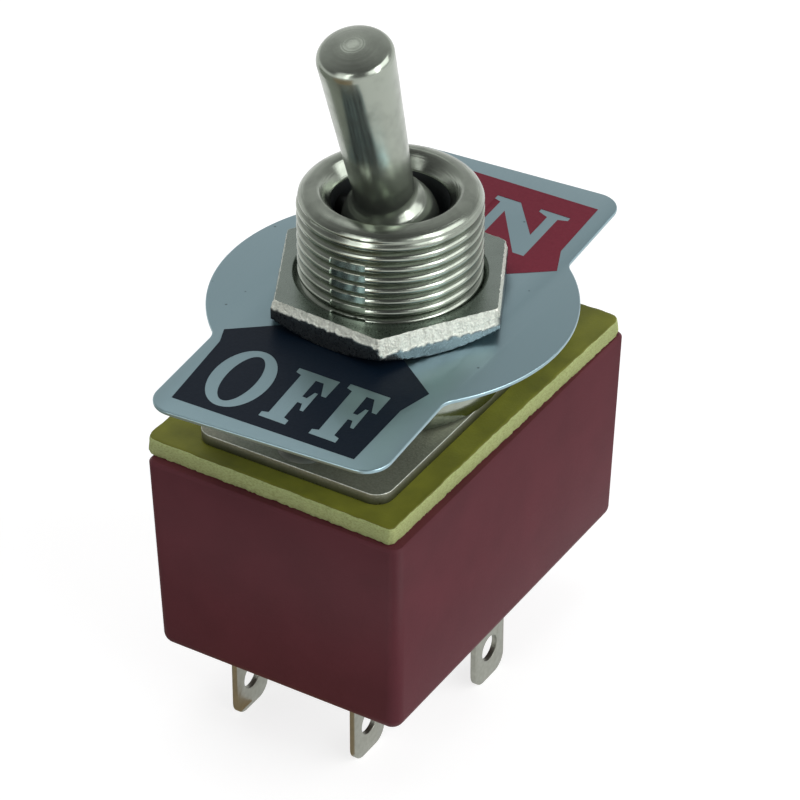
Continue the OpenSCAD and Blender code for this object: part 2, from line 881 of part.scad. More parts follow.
// The two rivets that clamp plate, board and housing together
module body_rivets() {
    tail_inset = 0.15;
    color("#a8a69a")
    for (x = [-1, 1])
        translate([x * rivet_x, 0, 0]) {
            translate([0, 0, plate_top])
                rotate_extrude()
                    intersection() {
                        translate([0, rivet_head_h - rivet_ball_r])
                            circle(r = rivet_ball_r, $fn = 128);
                        square([rivet_head_d / 2, rivet_head_h]);
                    }
            translate([0, 0, case_bottom + rivet_tail_h / 2])
                cylinder(d = rivet_d, h = plate_top - case_bottom - rivet_tail_h / 2 + eps);
            translate([0, 0, case_bottom])
                cylinder(r1 = rivet_head_d / 2 - tail_inset, r2 = rivet_d / 2, h = rivet_tail_h);
        }
}

lever();
pivot_pin();
pin_keeper();
bush();
front_nut();
back_nut();
lock_washer();
label_plate();
mounting_plate();
insulating_board();
housing();
body_rivets();
actuator();
plunger(LEFT);  // plunger_left
plunger(RIGHT);  // plunger_right
plunger_spring(LEFT);  // plunger_spring_left
plunger_spring(RIGHT);  // plunger_spring_right
rocker(LEFT);  // rocker_left
rocker(RIGHT);  // rocker_right
moving_contact(LEFT);  // moving_contact_left
moving_contact(RIGHT);  // moving_contact_right
fixed_contact(LEFT);  // fixed_contact_left
fixed_contact(RIGHT);  // fixed_contact_right
common_terminal(LEFT);  // common_terminal_left
common_terminal(RIGHT);  // common_terminal_right
line_terminal(LEFT);  // line_terminal_left
line_terminal(RIGHT);  // line_terminal_right
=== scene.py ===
"""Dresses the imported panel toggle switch: turned, stamped, moulded and printed pieces on the CAD frame."""

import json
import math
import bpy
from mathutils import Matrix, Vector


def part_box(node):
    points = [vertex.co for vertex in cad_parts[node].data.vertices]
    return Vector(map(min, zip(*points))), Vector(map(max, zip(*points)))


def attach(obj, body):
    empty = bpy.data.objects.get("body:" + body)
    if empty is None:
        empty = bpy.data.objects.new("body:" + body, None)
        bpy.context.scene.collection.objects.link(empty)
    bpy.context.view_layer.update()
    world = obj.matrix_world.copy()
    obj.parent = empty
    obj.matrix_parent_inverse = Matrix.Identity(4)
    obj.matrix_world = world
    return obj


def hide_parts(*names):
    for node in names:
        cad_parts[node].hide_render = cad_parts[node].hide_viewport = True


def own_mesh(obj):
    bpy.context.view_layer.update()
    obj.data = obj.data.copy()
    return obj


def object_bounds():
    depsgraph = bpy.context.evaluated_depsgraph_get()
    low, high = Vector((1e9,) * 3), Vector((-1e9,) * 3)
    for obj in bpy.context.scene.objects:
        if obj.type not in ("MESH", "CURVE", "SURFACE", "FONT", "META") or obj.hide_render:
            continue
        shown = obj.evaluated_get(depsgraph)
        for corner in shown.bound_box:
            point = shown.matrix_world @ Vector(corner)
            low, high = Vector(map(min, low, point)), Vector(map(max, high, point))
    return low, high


bl_info = {
    "name": "Panel Toggle Switch",
    "version": (1, 0, 0),
    "blender": (4, 5, 0),
    "location": "3D View > Sidebar > Switch",
    "description": "Builds the visible pieces of a panel toggle switch around its CAD frame",
    "category": "Object",
}

import bmesh
import bpy
from bpy.props import FloatProperty, FloatVectorProperty, IntProperty, PointerProperty
from mathutils import Matrix, Vector, noise

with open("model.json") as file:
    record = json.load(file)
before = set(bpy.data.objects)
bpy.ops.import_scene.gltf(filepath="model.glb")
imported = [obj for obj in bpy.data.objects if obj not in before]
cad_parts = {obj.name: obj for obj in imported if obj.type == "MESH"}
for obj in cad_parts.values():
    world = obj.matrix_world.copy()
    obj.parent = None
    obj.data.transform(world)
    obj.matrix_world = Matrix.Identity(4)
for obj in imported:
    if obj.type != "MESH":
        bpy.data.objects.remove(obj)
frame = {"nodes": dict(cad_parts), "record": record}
CAD_BOX = [list(corner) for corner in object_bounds()]

MM = 0.001
TAU = 2 * math.pi
RECORD = frame["record"]
MOUNTS = {mount["name"]: mount for mount in RECORD["mounts"]}
JOINTS = {joint["name"]: joint for joint in RECORD["behaviour"]["joints"]}
THREAD_R = MOUNTS["panel_bush"]["dims"]["r_mm"] * MM
LEVER_LEAN = math.radians(JOINTS["lever_pivot"]["range_deg"][1] / 2)
PIVOT = Vector(JOINTS["lever_pivot"]["pos_m"])
SIDES = ("left", "right")


# ---- Small helpers -------------------------------------------------------------------------------

def linear(code):
    """An sRGB hex colour as linear red, green and blue."""
    parts = [int(code[i:i + 2], 16) / 255 for i in (1, 3, 5)]
    return [c / 12.92 if c <= 0.04045 else ((c + 0.055) / 1.055) ** 2.4 for c in parts]


def opaque(colour):
    """A colour's red, green and blue with a full alpha."""
    return (*colour, 1.0)


def feed(tree, node, inputs):
    """Sets or links each named or numbered input of a node."""
    for key, value in inputs.items():
        if isinstance(value, bpy.types.Node):
            value = value.outputs[0]
        if isinstance(value, bpy.types.NodeSocket):
            tree.links.new(value, node.inputs[key])
        else:
            node.inputs[key].default_value = value


def add(tree, kind, inputs=None, **settings):
    """Adds a node, gives it its settings, and sets or links its inputs."""
    made = tree.nodes.new(kind)
    for key, value in settings.items():
        setattr(made, key, value)
    feed(tree, made, inputs or {})
    return made


def given(name):
    """One group of sizes or colours, as it is set in the scene."""
    return getattr(bpy.context.scene, name)


def size(label, default_mm, text, **more):
    """A length property, given in millimetres and kept in metres."""
    return FloatProperty(name=label, description=text, default=default_mm * MM, unit="LENGTH",
                         precision=5, min=0, **more)


def colour(label, code, text):
    """A colour property, given as an sRGB hex colour."""
    return FloatVectorProperty(name=label, description=text, default=linear(code),
                               subtype="COLOR", size=3, min=0, max=1)


# ---- Sizes and colours that a user would change --------------------------------------------------

class SwitchBush(bpy.types.PropertyGroup):
    pitch: size("Pitch", 0.8, "Distance between two turns of the thread")
    depth: size("Depth", 0.44, "Depth of the thread")
    thread_top: size("Thread top", 5.8, "Height at which the thread has run out below the rim")
    rim_round: size("Rim rounding", 1.0, "Height of the rounding of the rim's outer edge")
    rim_width: size("Rim width", 1.25, "Width of that rounding, up to the rim's crest")
    mouth: size("Mouth", 7.6, "Diameter of the bore round the lever's ball")
    flare_depth: size("Flare depth", 1.1, "How far down the mouth the rim's rounding goes")
    bore: size("Bore", 9.4, "Diameter of the bore below the ball")
    spigot_wall: size("Spigot wall", 0.7, "Wall of the spigot that is riveted over")
    lip: size("Lip", 0.5, "Width of the rolled lip")
    lip_height: size("Lip height", 0.4, "Thickness of the rolled lip")
    key_width: size("Key width", 2.5, "Width of the keyway")
    key_depth: size("Key depth", 0.15, "Depth of the keyway, which leaves the thread's roots")
    key_top: size("Key top", 4.2, "Height of the keyway's closed end")


class SwitchNut(bpy.types.PropertyGroup):
    across_flats: size("Across flats", 14.6, "Size of both nuts across their flats")
    seat_bevel: size("Seat bevel", 0.7, "Height of the bevel at the seating face's corners")
    corner_break: size("Corner break", 0.3, "Break of the corners on the outer face")
    sink: size("Countersink", 0.55, "Width of the countersink at each end of the hole")
    sink_round: size("Countersink rounding", 0.14, "Rounding of the outer countersink's edge")
    sheared: size("Sheared band", 1.15, "Height of the torn band that blanking left on the flats")
    sheared_narrow: size("Narrow sheared band", 0.65, "Height of the torn band on every other flat")
    tear: size("Tear", 0.035, "Depth of the torn surface")
    front_turn: FloatProperty(name="Front turn", description="Angle of the front nut's first corner",
                              default=math.radians(27), subtype="ANGLE")
    back_turn: FloatProperty(name="Back turn", description="Angle of the back nut's first corner",
                             default=math.radians(12), subtype="ANGLE")


class SwitchLever(bpy.types.PropertyGroup):
    length: size("Length", 14.58, "From the pivot to where the tip's rounding starts")
    tip: size("Tip", 4.9, "Diameter at the tip")
    neck: size("Neck", 3.9, "Diameter where the lever leaves its ball")
    ball: size("Ball", 6.4, "Diameter of the ball")
    edge: size("Edge", 0.75, "Rounding of the tip's edge")
    crown: size("Crown", 0.45, "Rise of the crowned end")
    tail_thickness: size("Tail thickness", 1.5, "Thickness of the flattened tail")
    tail_width: size("Tail width", 2.8, "Width of the tail")


class SwitchLabel(bpy.types.PropertyGroup):
    middle: size("Middle", 24.1, "Diameter of the round middle")
    length: size("Length", 35.5, "Length over both tabs")
    tab_width: size("Tab width", 16.5, "Width of each tab")
    tab_corner: size("Tab corner", 1.8, "Corner radius of the tabs")
    hollow: size("Hollow", 1.4, "Radius of the hollow between tab and middle")
    off_x: size("Off centre X", 0.15, "How far the hole is punched off centre along the label")
    off_y: size("Off centre Y", 0.25, "How far the hole is punched off centre across the label")
    turn: FloatProperty(name="Turn", description="Turn of the label on the bush",
                        default=math.radians(4), subtype="ANGLE")
    ink: size("Ink", 0.012, "Thickness of the printed ink")


class SwitchBoard(bpy.types.PropertyGroup):
    inset_x: size("Inset X", 0.25, "Step in from each end of the housing")
    inset_y: size("Inset Y", 0.1, "Step in from each side of the housing")
    corner: size("Corner", 0.8, "Corner radius")
    sharp_corner: size("Sharp corner", 0.4, "Radius of the one corner that was left sharper")
    fray: size("Fray", 0.09, "How far the sawn edge wanders")
    turn: FloatProperty(name="Turn", description="Turn of the board on the housing, clockwise",
                        default=math.radians(1), subtype="ANGLE")


class SwitchWasher(bpy.types.PropertyGroup):
    ring: size("Ring", 1.4, "Width of the ring")
    thickness: size("Thickness", 0.5, "Sheet thickness")
    tooth: size("Tooth", 1.5, "Width of each tooth")
    teeth: IntProperty(name="Teeth", description="Number of twisted teeth", default=12, min=6, max=20)
    twist: FloatProperty(name="Twist", description="Twist of each tooth", default=math.radians(10),
                         subtype="ANGLE")


class SwitchColours(bpy.types.PropertyGroup):
    nickel: colour("Nickel", "#9ca398", "Bright nickel plating")
    handled_nickel: colour("Handled nickel", "#a0a79c", "Nickel plating of the lever, under a film")
    nickel_dull: colour("Dull nickel", "#97a29a", "Nickel plating on stamped steel")
    torn: colour("Torn steel", "#f1f4e8", "Torn steel that blanking left under the plating")
    # Darker than the plating: burnished steel, with painted shade on the lower part of the nuts' flats
    burnished_shade: colour("Burnished steel", "#74797a", "Lower part of the nuts' flats, rubbed by the die")
    steel: colour("Steel", "#7d7f78", "Tempered spring steel")
    plate_haze: colour("Plate haze", "#a2a38f", "Dull haze on the mounting plate's plating")
    aluminium: colour("Aluminium", "#93acb3", "Satin aluminium of the label")
    black_ink: colour("Black ink", "#0d1a28", "Printed field of OFF")
    red_ink: colour("Red ink", "#7c2638", "Printed field of ON")
    board: colour("Board", "#83852a", "Face of the insulating board")
    board_edge: colour("Board edge", "#ccd893", "Sawn edge of the insulating board")
    phenolic: colour("Phenolic", "#642b34", "Moulded housing")
    tin: colour("Tin", "#a3a59b", "Tinned brass of the lugs")
    # Dark grease, and painted shade of the deep bore
    grease_and_shade: colour("Grease", "#2a2f31", "Greased bore of the bush")
    # Darkened far below ground steel: painted shade of the pin inside the bush
    shaded_pin_steel: colour("Pin steel", "#3b3d3c", "Ground steel of the pivot pin")
    keeper_steel: colour("Keeper steel", "#8d8d86", "Steel of the pin's keeper")
    spring_wire: colour("Spring wire", "#8a8c88", "Drawn wire of the plunger springs")
    black_phenolic: colour("Black phenolic", "#262220", "Moulded actuator")
    nylon: colour("Nylon", "#e2d9c2", "Natural nylon of the plungers")
    bronze: colour("Bronze", "#b98a54", "Phosphor bronze of the rockers")
    silver: colour("Silver", "#d6d5cf", "Fine silver of the contacts")


class SwitchStage(bpy.types.PropertyGroup):
    lens: FloatProperty(name="Lens", description="Focal length on a 36 mm sensor", default=183.7)
    distance: size("Distance", 257.9, "Camera to target")
    azimuth: FloatProperty(name="Azimuth", description="Camera's turn round the switch",
                           default=math.radians(-58.43), subtype="ANGLE")
    elevation: FloatProperty(name="Elevation", description="Camera's height above the horizon",
                             default=math.radians(34.85), subtype="ANGLE")
    target: FloatVectorProperty(name="Target", description="Point in the middle of the view",
                                default=(-0.00628, -0.00457, -0.00484), size=3, subtype="XYZ")


GROUPS = {
    "switch_bush": SwitchBush, "switch_nut": SwitchNut, "switch_lever": SwitchLever,
    "switch_label": SwitchLabel, "switch_board": SwitchBoard, "switch_washer": SwitchWasher,
    "switch_colours": SwitchColours, "switch_stage": SwitchStage,
}


# ---- Materials -----------------------------------------------------------------------------------

# A Mix node's numbers for its two colours and its mixed colour
FIRST, SECOND, MIXED = 6, 7, 2


def empty_material(name):
    """A material with nothing in its tree."""
    made = bpy.data.materials.new(name)
    made.use_nodes = True
    made.node_tree.nodes.clear()
    return made, made.node_tree


def new_material(name):
    """A material with its shader and output, and the piece's own coordinates in millimetres."""
    made, tree = empty_material(name)
    shader = add(tree, "ShaderNodeBsdfPrincipled")
    add(tree, "ShaderNodeOutputMaterial", {"Surface": shader})
    place = add(tree, "ShaderNodeTexCoord").outputs["Object"]
    in_mm = add(tree, "ShaderNodeVectorMath", {0: place, "Scale": 1 / MM}, operation="SCALE")
    return made, tree, shader, in_mm.outputs[0]


def shaded(tree, base, darker, mask):
    """A colour that goes to a share of itself where the mask is 1."""
    return add(tree, "ShaderNodeMix", {
        "Factor": mask, FIRST: opaque(base), SECOND: opaque(c * darker for c in base),
    }, data_type="RGBA").outputs[MIXED]


def clouded(name, base, darker, scale, detail, rough, relief, **uniform):
    """A finish that follows one noise; relief is a strength and a depth in millimetres."""
    made, tree, shader, place = new_material(name)
    cloud = add(tree, "ShaderNodeTexNoise", {"Vector": place, "Scale": scale, "Detail": detail})
    feed(tree, shader, {
        "Base Color": shaded(tree, base, darker, cloud),
        "Roughness": add(tree, "ShaderNodeMapRange", {
            "Value": cloud, "To Min": rough[0], "To Max": rough[1]}),
        "Normal": add(tree, "ShaderNodeBump", {
            "Height": cloud, "Strength": relief[0], "Distance": relief[1] * MM}),
        **{key.replace("_", " "): value for key, value in uniform.items()}})
    return made


def greased_shaded(name, base):
    """Unplated bore under old grease, its dark colour partly painted shade of the deep hole, with a broken
    wet shine.
    """
    return clouded(name, base, 0.4, scale=1.2, detail=4.0, rough=(0.3, 0.7), relief=(0.4, 0.1))


def printed_ink(name, base):
    """Screen-printed enamel ink: an even coat, satin, with a faint orange peel."""
    return clouded(name, base, 0.75, scale=5.0, detail=4.0, rough=(0.32, 0.5), relief=(0.3, 0.03),
                   Specular_IOR_Level=0.12)


def plain_metal(name, base, roughness):
    """Strip or wire metal: drawn surface with a light haze."""
    return clouded(name, base, 0.7, scale=2.5, detail=5.0, relief=(0.3, 0.02),
                   rough=(roughness - 0.08, roughness + 0.12), Metallic=1.0)


def turned_nickel(name, base, ring_mm, bare=1.0, lean=0.0, pivot_z=0.0):
    """Bright nickel over turned brass: the tool's rings show on faces that lie across the axis."""
    made, tree, shader, place = new_material(name)
    rise = pivot_z / MM
    upright = add(tree, "ShaderNodeMapping", {
        "Vector": place, "Rotation": (0, lean, 0),
        "Location": (-rise * math.sin(lean), 0, -rise * math.cos(lean))})
    flat = add(tree, "ShaderNodeVectorMath", {0: upright, 1: (1, 1, 0)}, operation="MULTIPLY")
    from_axis = add(tree, "ShaderNodeVectorMath", {0: flat}, operation="LENGTH").outputs["Value"]
    # The rings wander a little, so each is a noise of its distance from the axis
    rings = add(tree, "ShaderNodeTexNoise", {
        "Vector": add(tree, "ShaderNodeCombineXYZ", {
            "X": add(tree, "ShaderNodeMath", {0: from_axis, 1: 1 / ring_mm}, operation="MULTIPLY")}),
        "Scale": 1.0, "Detail": 2.0})
    cloud = add(tree, "ShaderNodeTexNoise", {"Vector": place, "Scale": 0.6, "Detail": 4.0})
    stain = add(tree, "ShaderNodeMapRange", {"Value": cloud, "From Min": 0.45, "From Max": 0.75})
    feed(tree, shader, {
        "Base Color": shaded(tree, base, 0.72, stain),
        # Handling leaves a dull film over part of the plating
        "Metallic": bare,
        "Roughness": add(tree, "ShaderNodeMapRange", {
            "Value": cloud, "From Min": 0.3, "From Max": 0.7, "To Min": 0.17, "To Max": 0.27}),
        "Normal": add(tree, "ShaderNodeBump", {
            "Height": rings, "Strength": 0.6, "Distance": 0.03 * MM})})
    return made


def stamped_nickel(name, base, torn_base, burnished_shade_base):
    """Nickel-plated stamped steel: smooth faces with faint pits, and torn edges that scatter the light."""
    made, tree, shader, place = new_material(name)
    torn, burnished_shade = (add(tree, "ShaderNodeAttribute", attribute_name=share).outputs["Fac"]
                       for share in ("torn", "burnished_shade"))
    grain = add(tree, "ShaderNodeTexNoise", {"Vector": place, "Scale": 7.0, "Detail": 5.0})
    cloud = add(tree, "ShaderNodeTexNoise", {"Vector": place, "Scale": 0.7, "Detail": 3.0})
    pits = add(tree, "ShaderNodeMapRange", {"Value": grain, "From Min": 0.35, "From Max": 0.65})
    # The die leaves the lower part of each flat burnished; its darker colour there is painted shade
    marked_with_painted_light = add(tree, "ShaderNodeMix", {
        "Factor": burnished_shade, FIRST: shaded(tree, base, 0.75, cloud), SECOND: opaque(burnished_shade_base),
    }, data_type="RGBA").outputs[MIXED]
    skin = add(tree, "ShaderNodeMix", {
        "Factor": torn, FIRST: marked_with_painted_light, SECOND: shaded(tree, torn_base, 0.75, pits),
    }, data_type="RGBA").outputs[MIXED]
    smooth = add(tree, "ShaderNodeMapRange", {
        "Value": grain, "From Min": 0.3, "From Max": 0.7, "To Min": 0.24, "To Max": 0.36})
    feed(tree, shader, {
        "Base Color": skin,
        "Metallic": add(tree, "ShaderNodeMapRange", {"Value": torn, "To Min": 1.0, "To Max": 0.45}),
        "Roughness": add(tree, "ShaderNodeMapRange", {"Value": torn, "To Min": smooth, "To Max": 0.5}),
        "Normal": add(tree, "ShaderNodeBump", {
            "Height": grain, "Strength": 1.0, "Distance": add(tree, "ShaderNodeMapRange", {
                "Value": torn, "To Min": 0.004 * MM, "To Max": 0.05 * MM})})})
    return made


def satin_aluminium(name, base):
    """Satin aluminium sheet: a fine rolled grain along the label, with a few dark specks."""
    made, tree, shader, place = new_material(name)
    grain = add(tree, "ShaderNodeTexNoise", {
        "Vector": add(tree, "ShaderNodeMapping", {"Vector": place, "Scale": (0.5, 6.0, 1.0)}),
        "Scale": 3.0, "Detail": 6.0, "Roughness": 0.65})
    specks = add(tree, "ShaderNodeTexVoronoi", {"Vector": place, "Scale": 0.55, "Randomness": 1.0})
    spot = add(tree, "ShaderNodeMapRange", {
        "Value": specks.outputs["Distance"], "From Min": 0.06, "From Max": 0.03})
    feed(tree, shader, {
        "Base Color": shaded(tree, base, 0.45, spot),
        "Metallic": 1.0,
        "Roughness": add(tree, "ShaderNodeMapRange", {
            "Value": grain, "From Min": 0.3, "From Max": 0.7, "To Min": 0.28, "To Max": 0.38}),
        "Normal": add(tree, "ShaderNodeBump", {
            "Height": grain, "Strength": 0.35, "Distance": 0.02 * MM})})
    return made


def fibre_sheet(name, base):
    """Laminated fibre sheet: a soft olive face with a cloudy weave pressed into it."""
    made, tree, shader, place = new_material(name)
    cloud = add(tree, "ShaderNodeTexNoise", {"Vector": place, "Scale": 0.35, "Detail": 5.0})
    weave = add(tree, "ShaderNodeTexNoise", {"Vector": place, "Scale": 6.0, "Detail": 3.0})
    patches = add(tree, "ShaderNodeMapRange", {"Value": cloud, "From Min": 0.36, "From Max": 0.64})
    feed(tree, shader, {
        "Base Color": shaded(tree, base, 0.7, patches),
        "Roughness": 0.55,
        "Specular IOR Level": 0.3,
        "Normal": add(tree, "ShaderNodeBump", {
            "Height": weave, "Strength": 0.4, "Distance": 0.04 * MM})})
    return made


def fibre_cut(name, base, face):
    """The sheet's sawn edge: pale broken fibres in layers, with darker resin between them."""
    made, tree, shader, place = new_material(name)
    layers = add(tree, "ShaderNodeTexNoise", {
        "Vector": add(tree, "ShaderNodeMapping", {"Vector": place, "Scale": (1.0, 1.0, 2.2)}),
        "Scale": 5.0, "Detail": 5.0, "Roughness": 0.7})
    resin = add(tree, "ShaderNodeMapRange", {
        "Value": layers, "From Min": 0.45, "From Max": 0.75, "To Max": 0.6})
    feed(tree, shader, {
        "Base Color": add(tree, "ShaderNodeMix", {
            "Factor": resin, FIRST: opaque(base), SECOND: opaque(face)},
            data_type="RGBA").outputs[MIXED],
        "Roughness": 0.8,
        "Normal": add(tree, "ShaderNodeBump", {
            "Height": layers, "Strength": 0.8, "Distance": 0.12 * MM})})
    return made


def moulded(name, base, roughness, mottle=0.8):
    """Moulded plastic: a satin skin with faint flow clouds and the fine grain of the mould."""
    made, tree, shader, place = new_material(name)
    flow = add(tree, "ShaderNodeTexNoise", {"Vector": place, "Scale": 0.22, "Detail": 6.0})
    grain = add(tree, "ShaderNodeTexNoise", {"Vector": place, "Scale": 7.0, "Detail": 4.0})
    clouds = add(tree, "ShaderNodeMapRange", {"Value": flow, "From Min": 0.36, "From Max": 0.64})
    feed(tree, shader, {
        "Base Color": shaded(tree, base, mottle, clouds),
        "Specular IOR Level": 0.24,
        "Roughness": add(tree, "ShaderNodeMapRange", {
            "Value": grain, "To Min": roughness - 0.06, "To Max": roughness + 0.08}),
        "Normal": add(tree, "ShaderNodeBump", {
            "Height": grain, "Strength": 0.25, "Distance": 0.03 * MM})})
    return made


# ---- Mesh helpers --------------------------------------------------------------------------------

def finish_piece(mesh, name, body, nodes, materials, sharp=math.radians(35)):
    """Makes an object of a mesh that is already in place, shades it, and hands it to the frame."""
    mesh.name = name
    mesh.materials.clear()
    for made in materials:
        mesh.materials.append(made)
    mesh.polygons.foreach_set("use_smooth", [True] * len(mesh.polygons))
    mesh.set_sharp_from_angle(angle=sharp)
    piece = bpy.data.objects.new(name, mesh)
    bpy.context.scene.collection.objects.link(piece)
    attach(piece, body)
    if nodes:
        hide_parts(*nodes)
    return piece


def outward(work):
    """Turns a closed shape's faces outwards."""
    if work.calc_volume(signed=True) < 0:
        bmesh.ops.reverse_faces(work, faces=work.faces)
    return work


def revolve(outline, angles):
    """A closed outline of (radius, z), turned round Z; a point at radius 0 closes a pole."""
    if isinstance(angles, int):
        angles = [TAU * i / angles for i in range(angles)]
    columns = len(angles)
    work = bmesh.new()
    rings = []
    for radius, z in outline:
        if radius < 1e-7:
            rings.append([work.verts.new((0, 0, z))])
            continue
        rings.append([work.verts.new((radius * math.cos(a), radius * math.sin(a), z)) for a in angles])
    closed = len(rings[0]) > 1
    for lower, upper in zip(rings, rings[1:] + ([rings[0]] if closed else [])):
        for i in range(columns):
            k = (i + 1) % columns
            if len(lower) == 1 and len(upper) == 1:
                continue
            if len(lower) == 1:
                work.faces.new((lower[0], upper[k], upper[i]))
            elif len(upper) == 1:
                work.faces.new((lower[i], lower[k], upper[0]))
            else:
                work.faces.new((lower[i], lower[k], upper[k], upper[i]))
    return outward(work)


def bridged(work, rings):
    """Joins each ring of points to the next, and the last to the first; gives each band's faces."""
    bands = []
    for first, second in zip(rings, rings[1:] + rings[:1]):
        corners = zip(first, first[1:] + first[:1], second[1:] + second[:1], second)
        bands.append([work.faces.new(points) for points in corners])
    return bands


def block(dimensions, edge, segments, middle):
    """A box with rounded edges."""
    work = bmesh.new()
    bmesh.ops.create_cube(work, size=1.0)
    bmesh.ops.scale(work, verts=work.verts, vec=dimensions)
    bmesh.ops.bevel(work, geom=work.edges[:], offset=edge, segments=segments, affect="EDGES")
    bmesh.ops.translate(work, verts=work.verts, vec=middle)
    return work


def to_mesh(work):
    """The plain mesh of a shape that is finished; the shape is freed."""
    mesh = bpy.data.meshes.new("blank")
    work.to_mesh(mesh)
    work.free()
    return mesh


def evaluated(carrier):
    """The plain mesh that an object's modifiers or curve settings make; the object is removed."""
    bpy.context.scene.collection.objects.link(carrier)
    graph = bpy.context.evaluated_depsgraph_get()
    made = bpy.data.meshes.new_from_object(carrier.evaluated_get(graph))
    bpy.data.objects.remove(carrier)
    return made


def arc(centre, radius, start, end, steps):
    """Points along an arc in the plane, angles in degrees."""
    angles = [math.radians(start + (end - start) * i / steps) for i in range(steps + 1)]
    return [(centre[0] + radius * math.cos(a), centre[1] + radius * math.sin(a)) for a in angles]


def steps_between(low, high, count):
    """Evenly spaced values from low up to, but not at, high."""
    return [low + (high - low) * i / count for i in range(count)]


def filled(outlines, thickness, rounding=0.0):
    """A flat plate on z = 0 from closed outlines, each nested one cutting a hole or an island."""
    curve = bpy.data.curves.new("outline", "CURVE")
    curve.dimensions = "2D"
    curve.fill_mode = "BOTH"
    curve.extrude = thickness / 2 - rounding
    curve.bevel_depth = rounding
    curve.bevel_resolution = 2
    curve.offset = -rounding
    for points in outlines:
        spline = curve.splines.new("POLY")
        spline.points.add(len(points) - 1)
        for point, (x, y) in zip(spline.points, points):
            point.co = (x, y, 0, 1)
        spline.use_cyclic_u = True
    mesh = evaluated(bpy.data.objects.new("outline", curve))
    bpy.data.curves.remove(curve)
    work = bmesh.new()
    work.from_mesh(mesh)
    bpy.data.meshes.remove(mesh)
    bmesh.ops.remove_doubles(work, verts=work.verts, dist=1e-7)
    bmesh.ops.translate(work, verts=work.verts, vec=(0, 0, thickness / 2))
    return outward(work)


def grow_tree(name, sizes):
    """A Geometry Nodes tree with a geometry input and output and one named input for each size."""
    tree = bpy.data.node_groups.new(name, "GeometryNodeTree")
    tree.interface.new_socket("Geometry", in_out="INPUT", socket_type="NodeSocketGeometry")
    for label, value in sizes.items():
        kind = "NodeSocketInt" if isinstance(value, int) else "NodeSocketFloat"
        tree.interface.new_socket(label, in_out="INPUT", socket_type=kind)
    tree.interface.new_socket("Geometry", in_out="OUTPUT", socket_type="NodeSocketGeometry")
    return tree, add(tree, "NodeGroupInput").outputs, add(tree, "NodeGroupOutput")


def end_tree(tree, out, shaped, made):
    """Ends a tree: real geometry, with its material."""
    real = add(tree, "GeometryNodeRealizeInstances", {"Geometry": shaped})
    dressed = add(tree, "GeometryNodeSetMaterial", {"Geometry": real, "Material": made})
    feed(tree, out, {0: dressed})


def run_tree(mesh, tree, sizes):
    """Runs a tree on a mesh with the given sizes and returns the plain mesh that comes out."""
    carrier = bpy.data.objects.new("carrier", mesh)
    modifier = carrier.modifiers.new("tree", "NODES")
    modifier.node_group = tree
    for item in tree.interface.items_tree:
        if item.in_out == "INPUT" and item.name in sizes:
            modifier[item.identifier] = sizes[item.name]
    return evaluated(carrier)


def merged_copy(node):
    """A copy of a CAD node whose triangles are joined."""
    work = bmesh.new()
    work.from_mesh(frame["nodes"][node].data)
    bmesh.ops.remove_doubles(work, verts=work.verts, dist=2e-6)
    return work


def dressed_copy(node, edge):
    """A merged copy of a CAD node with its hard edges slightly rounded."""
    work = merged_copy(node)
    bmesh.ops.dissolve_limit(work, angle_limit=math.radians(0.3), verts=work.verts, edges=work.edges)
    carrier = bpy.data.objects.new("carrier", to_mesh(work))
    bevel = carrier.modifiers.new("edge", "BEVEL")
    bevel.width = edge
    bevel.segments = 3
    bevel.limit_method = "ANGLE"
    bevel.angle_limit = math.radians(38)
    bevel.use_clamp_overlap = True
    return evaluated(carrier)


# ---- Rules that Geometry Nodes follow -------------------------------------------------------------

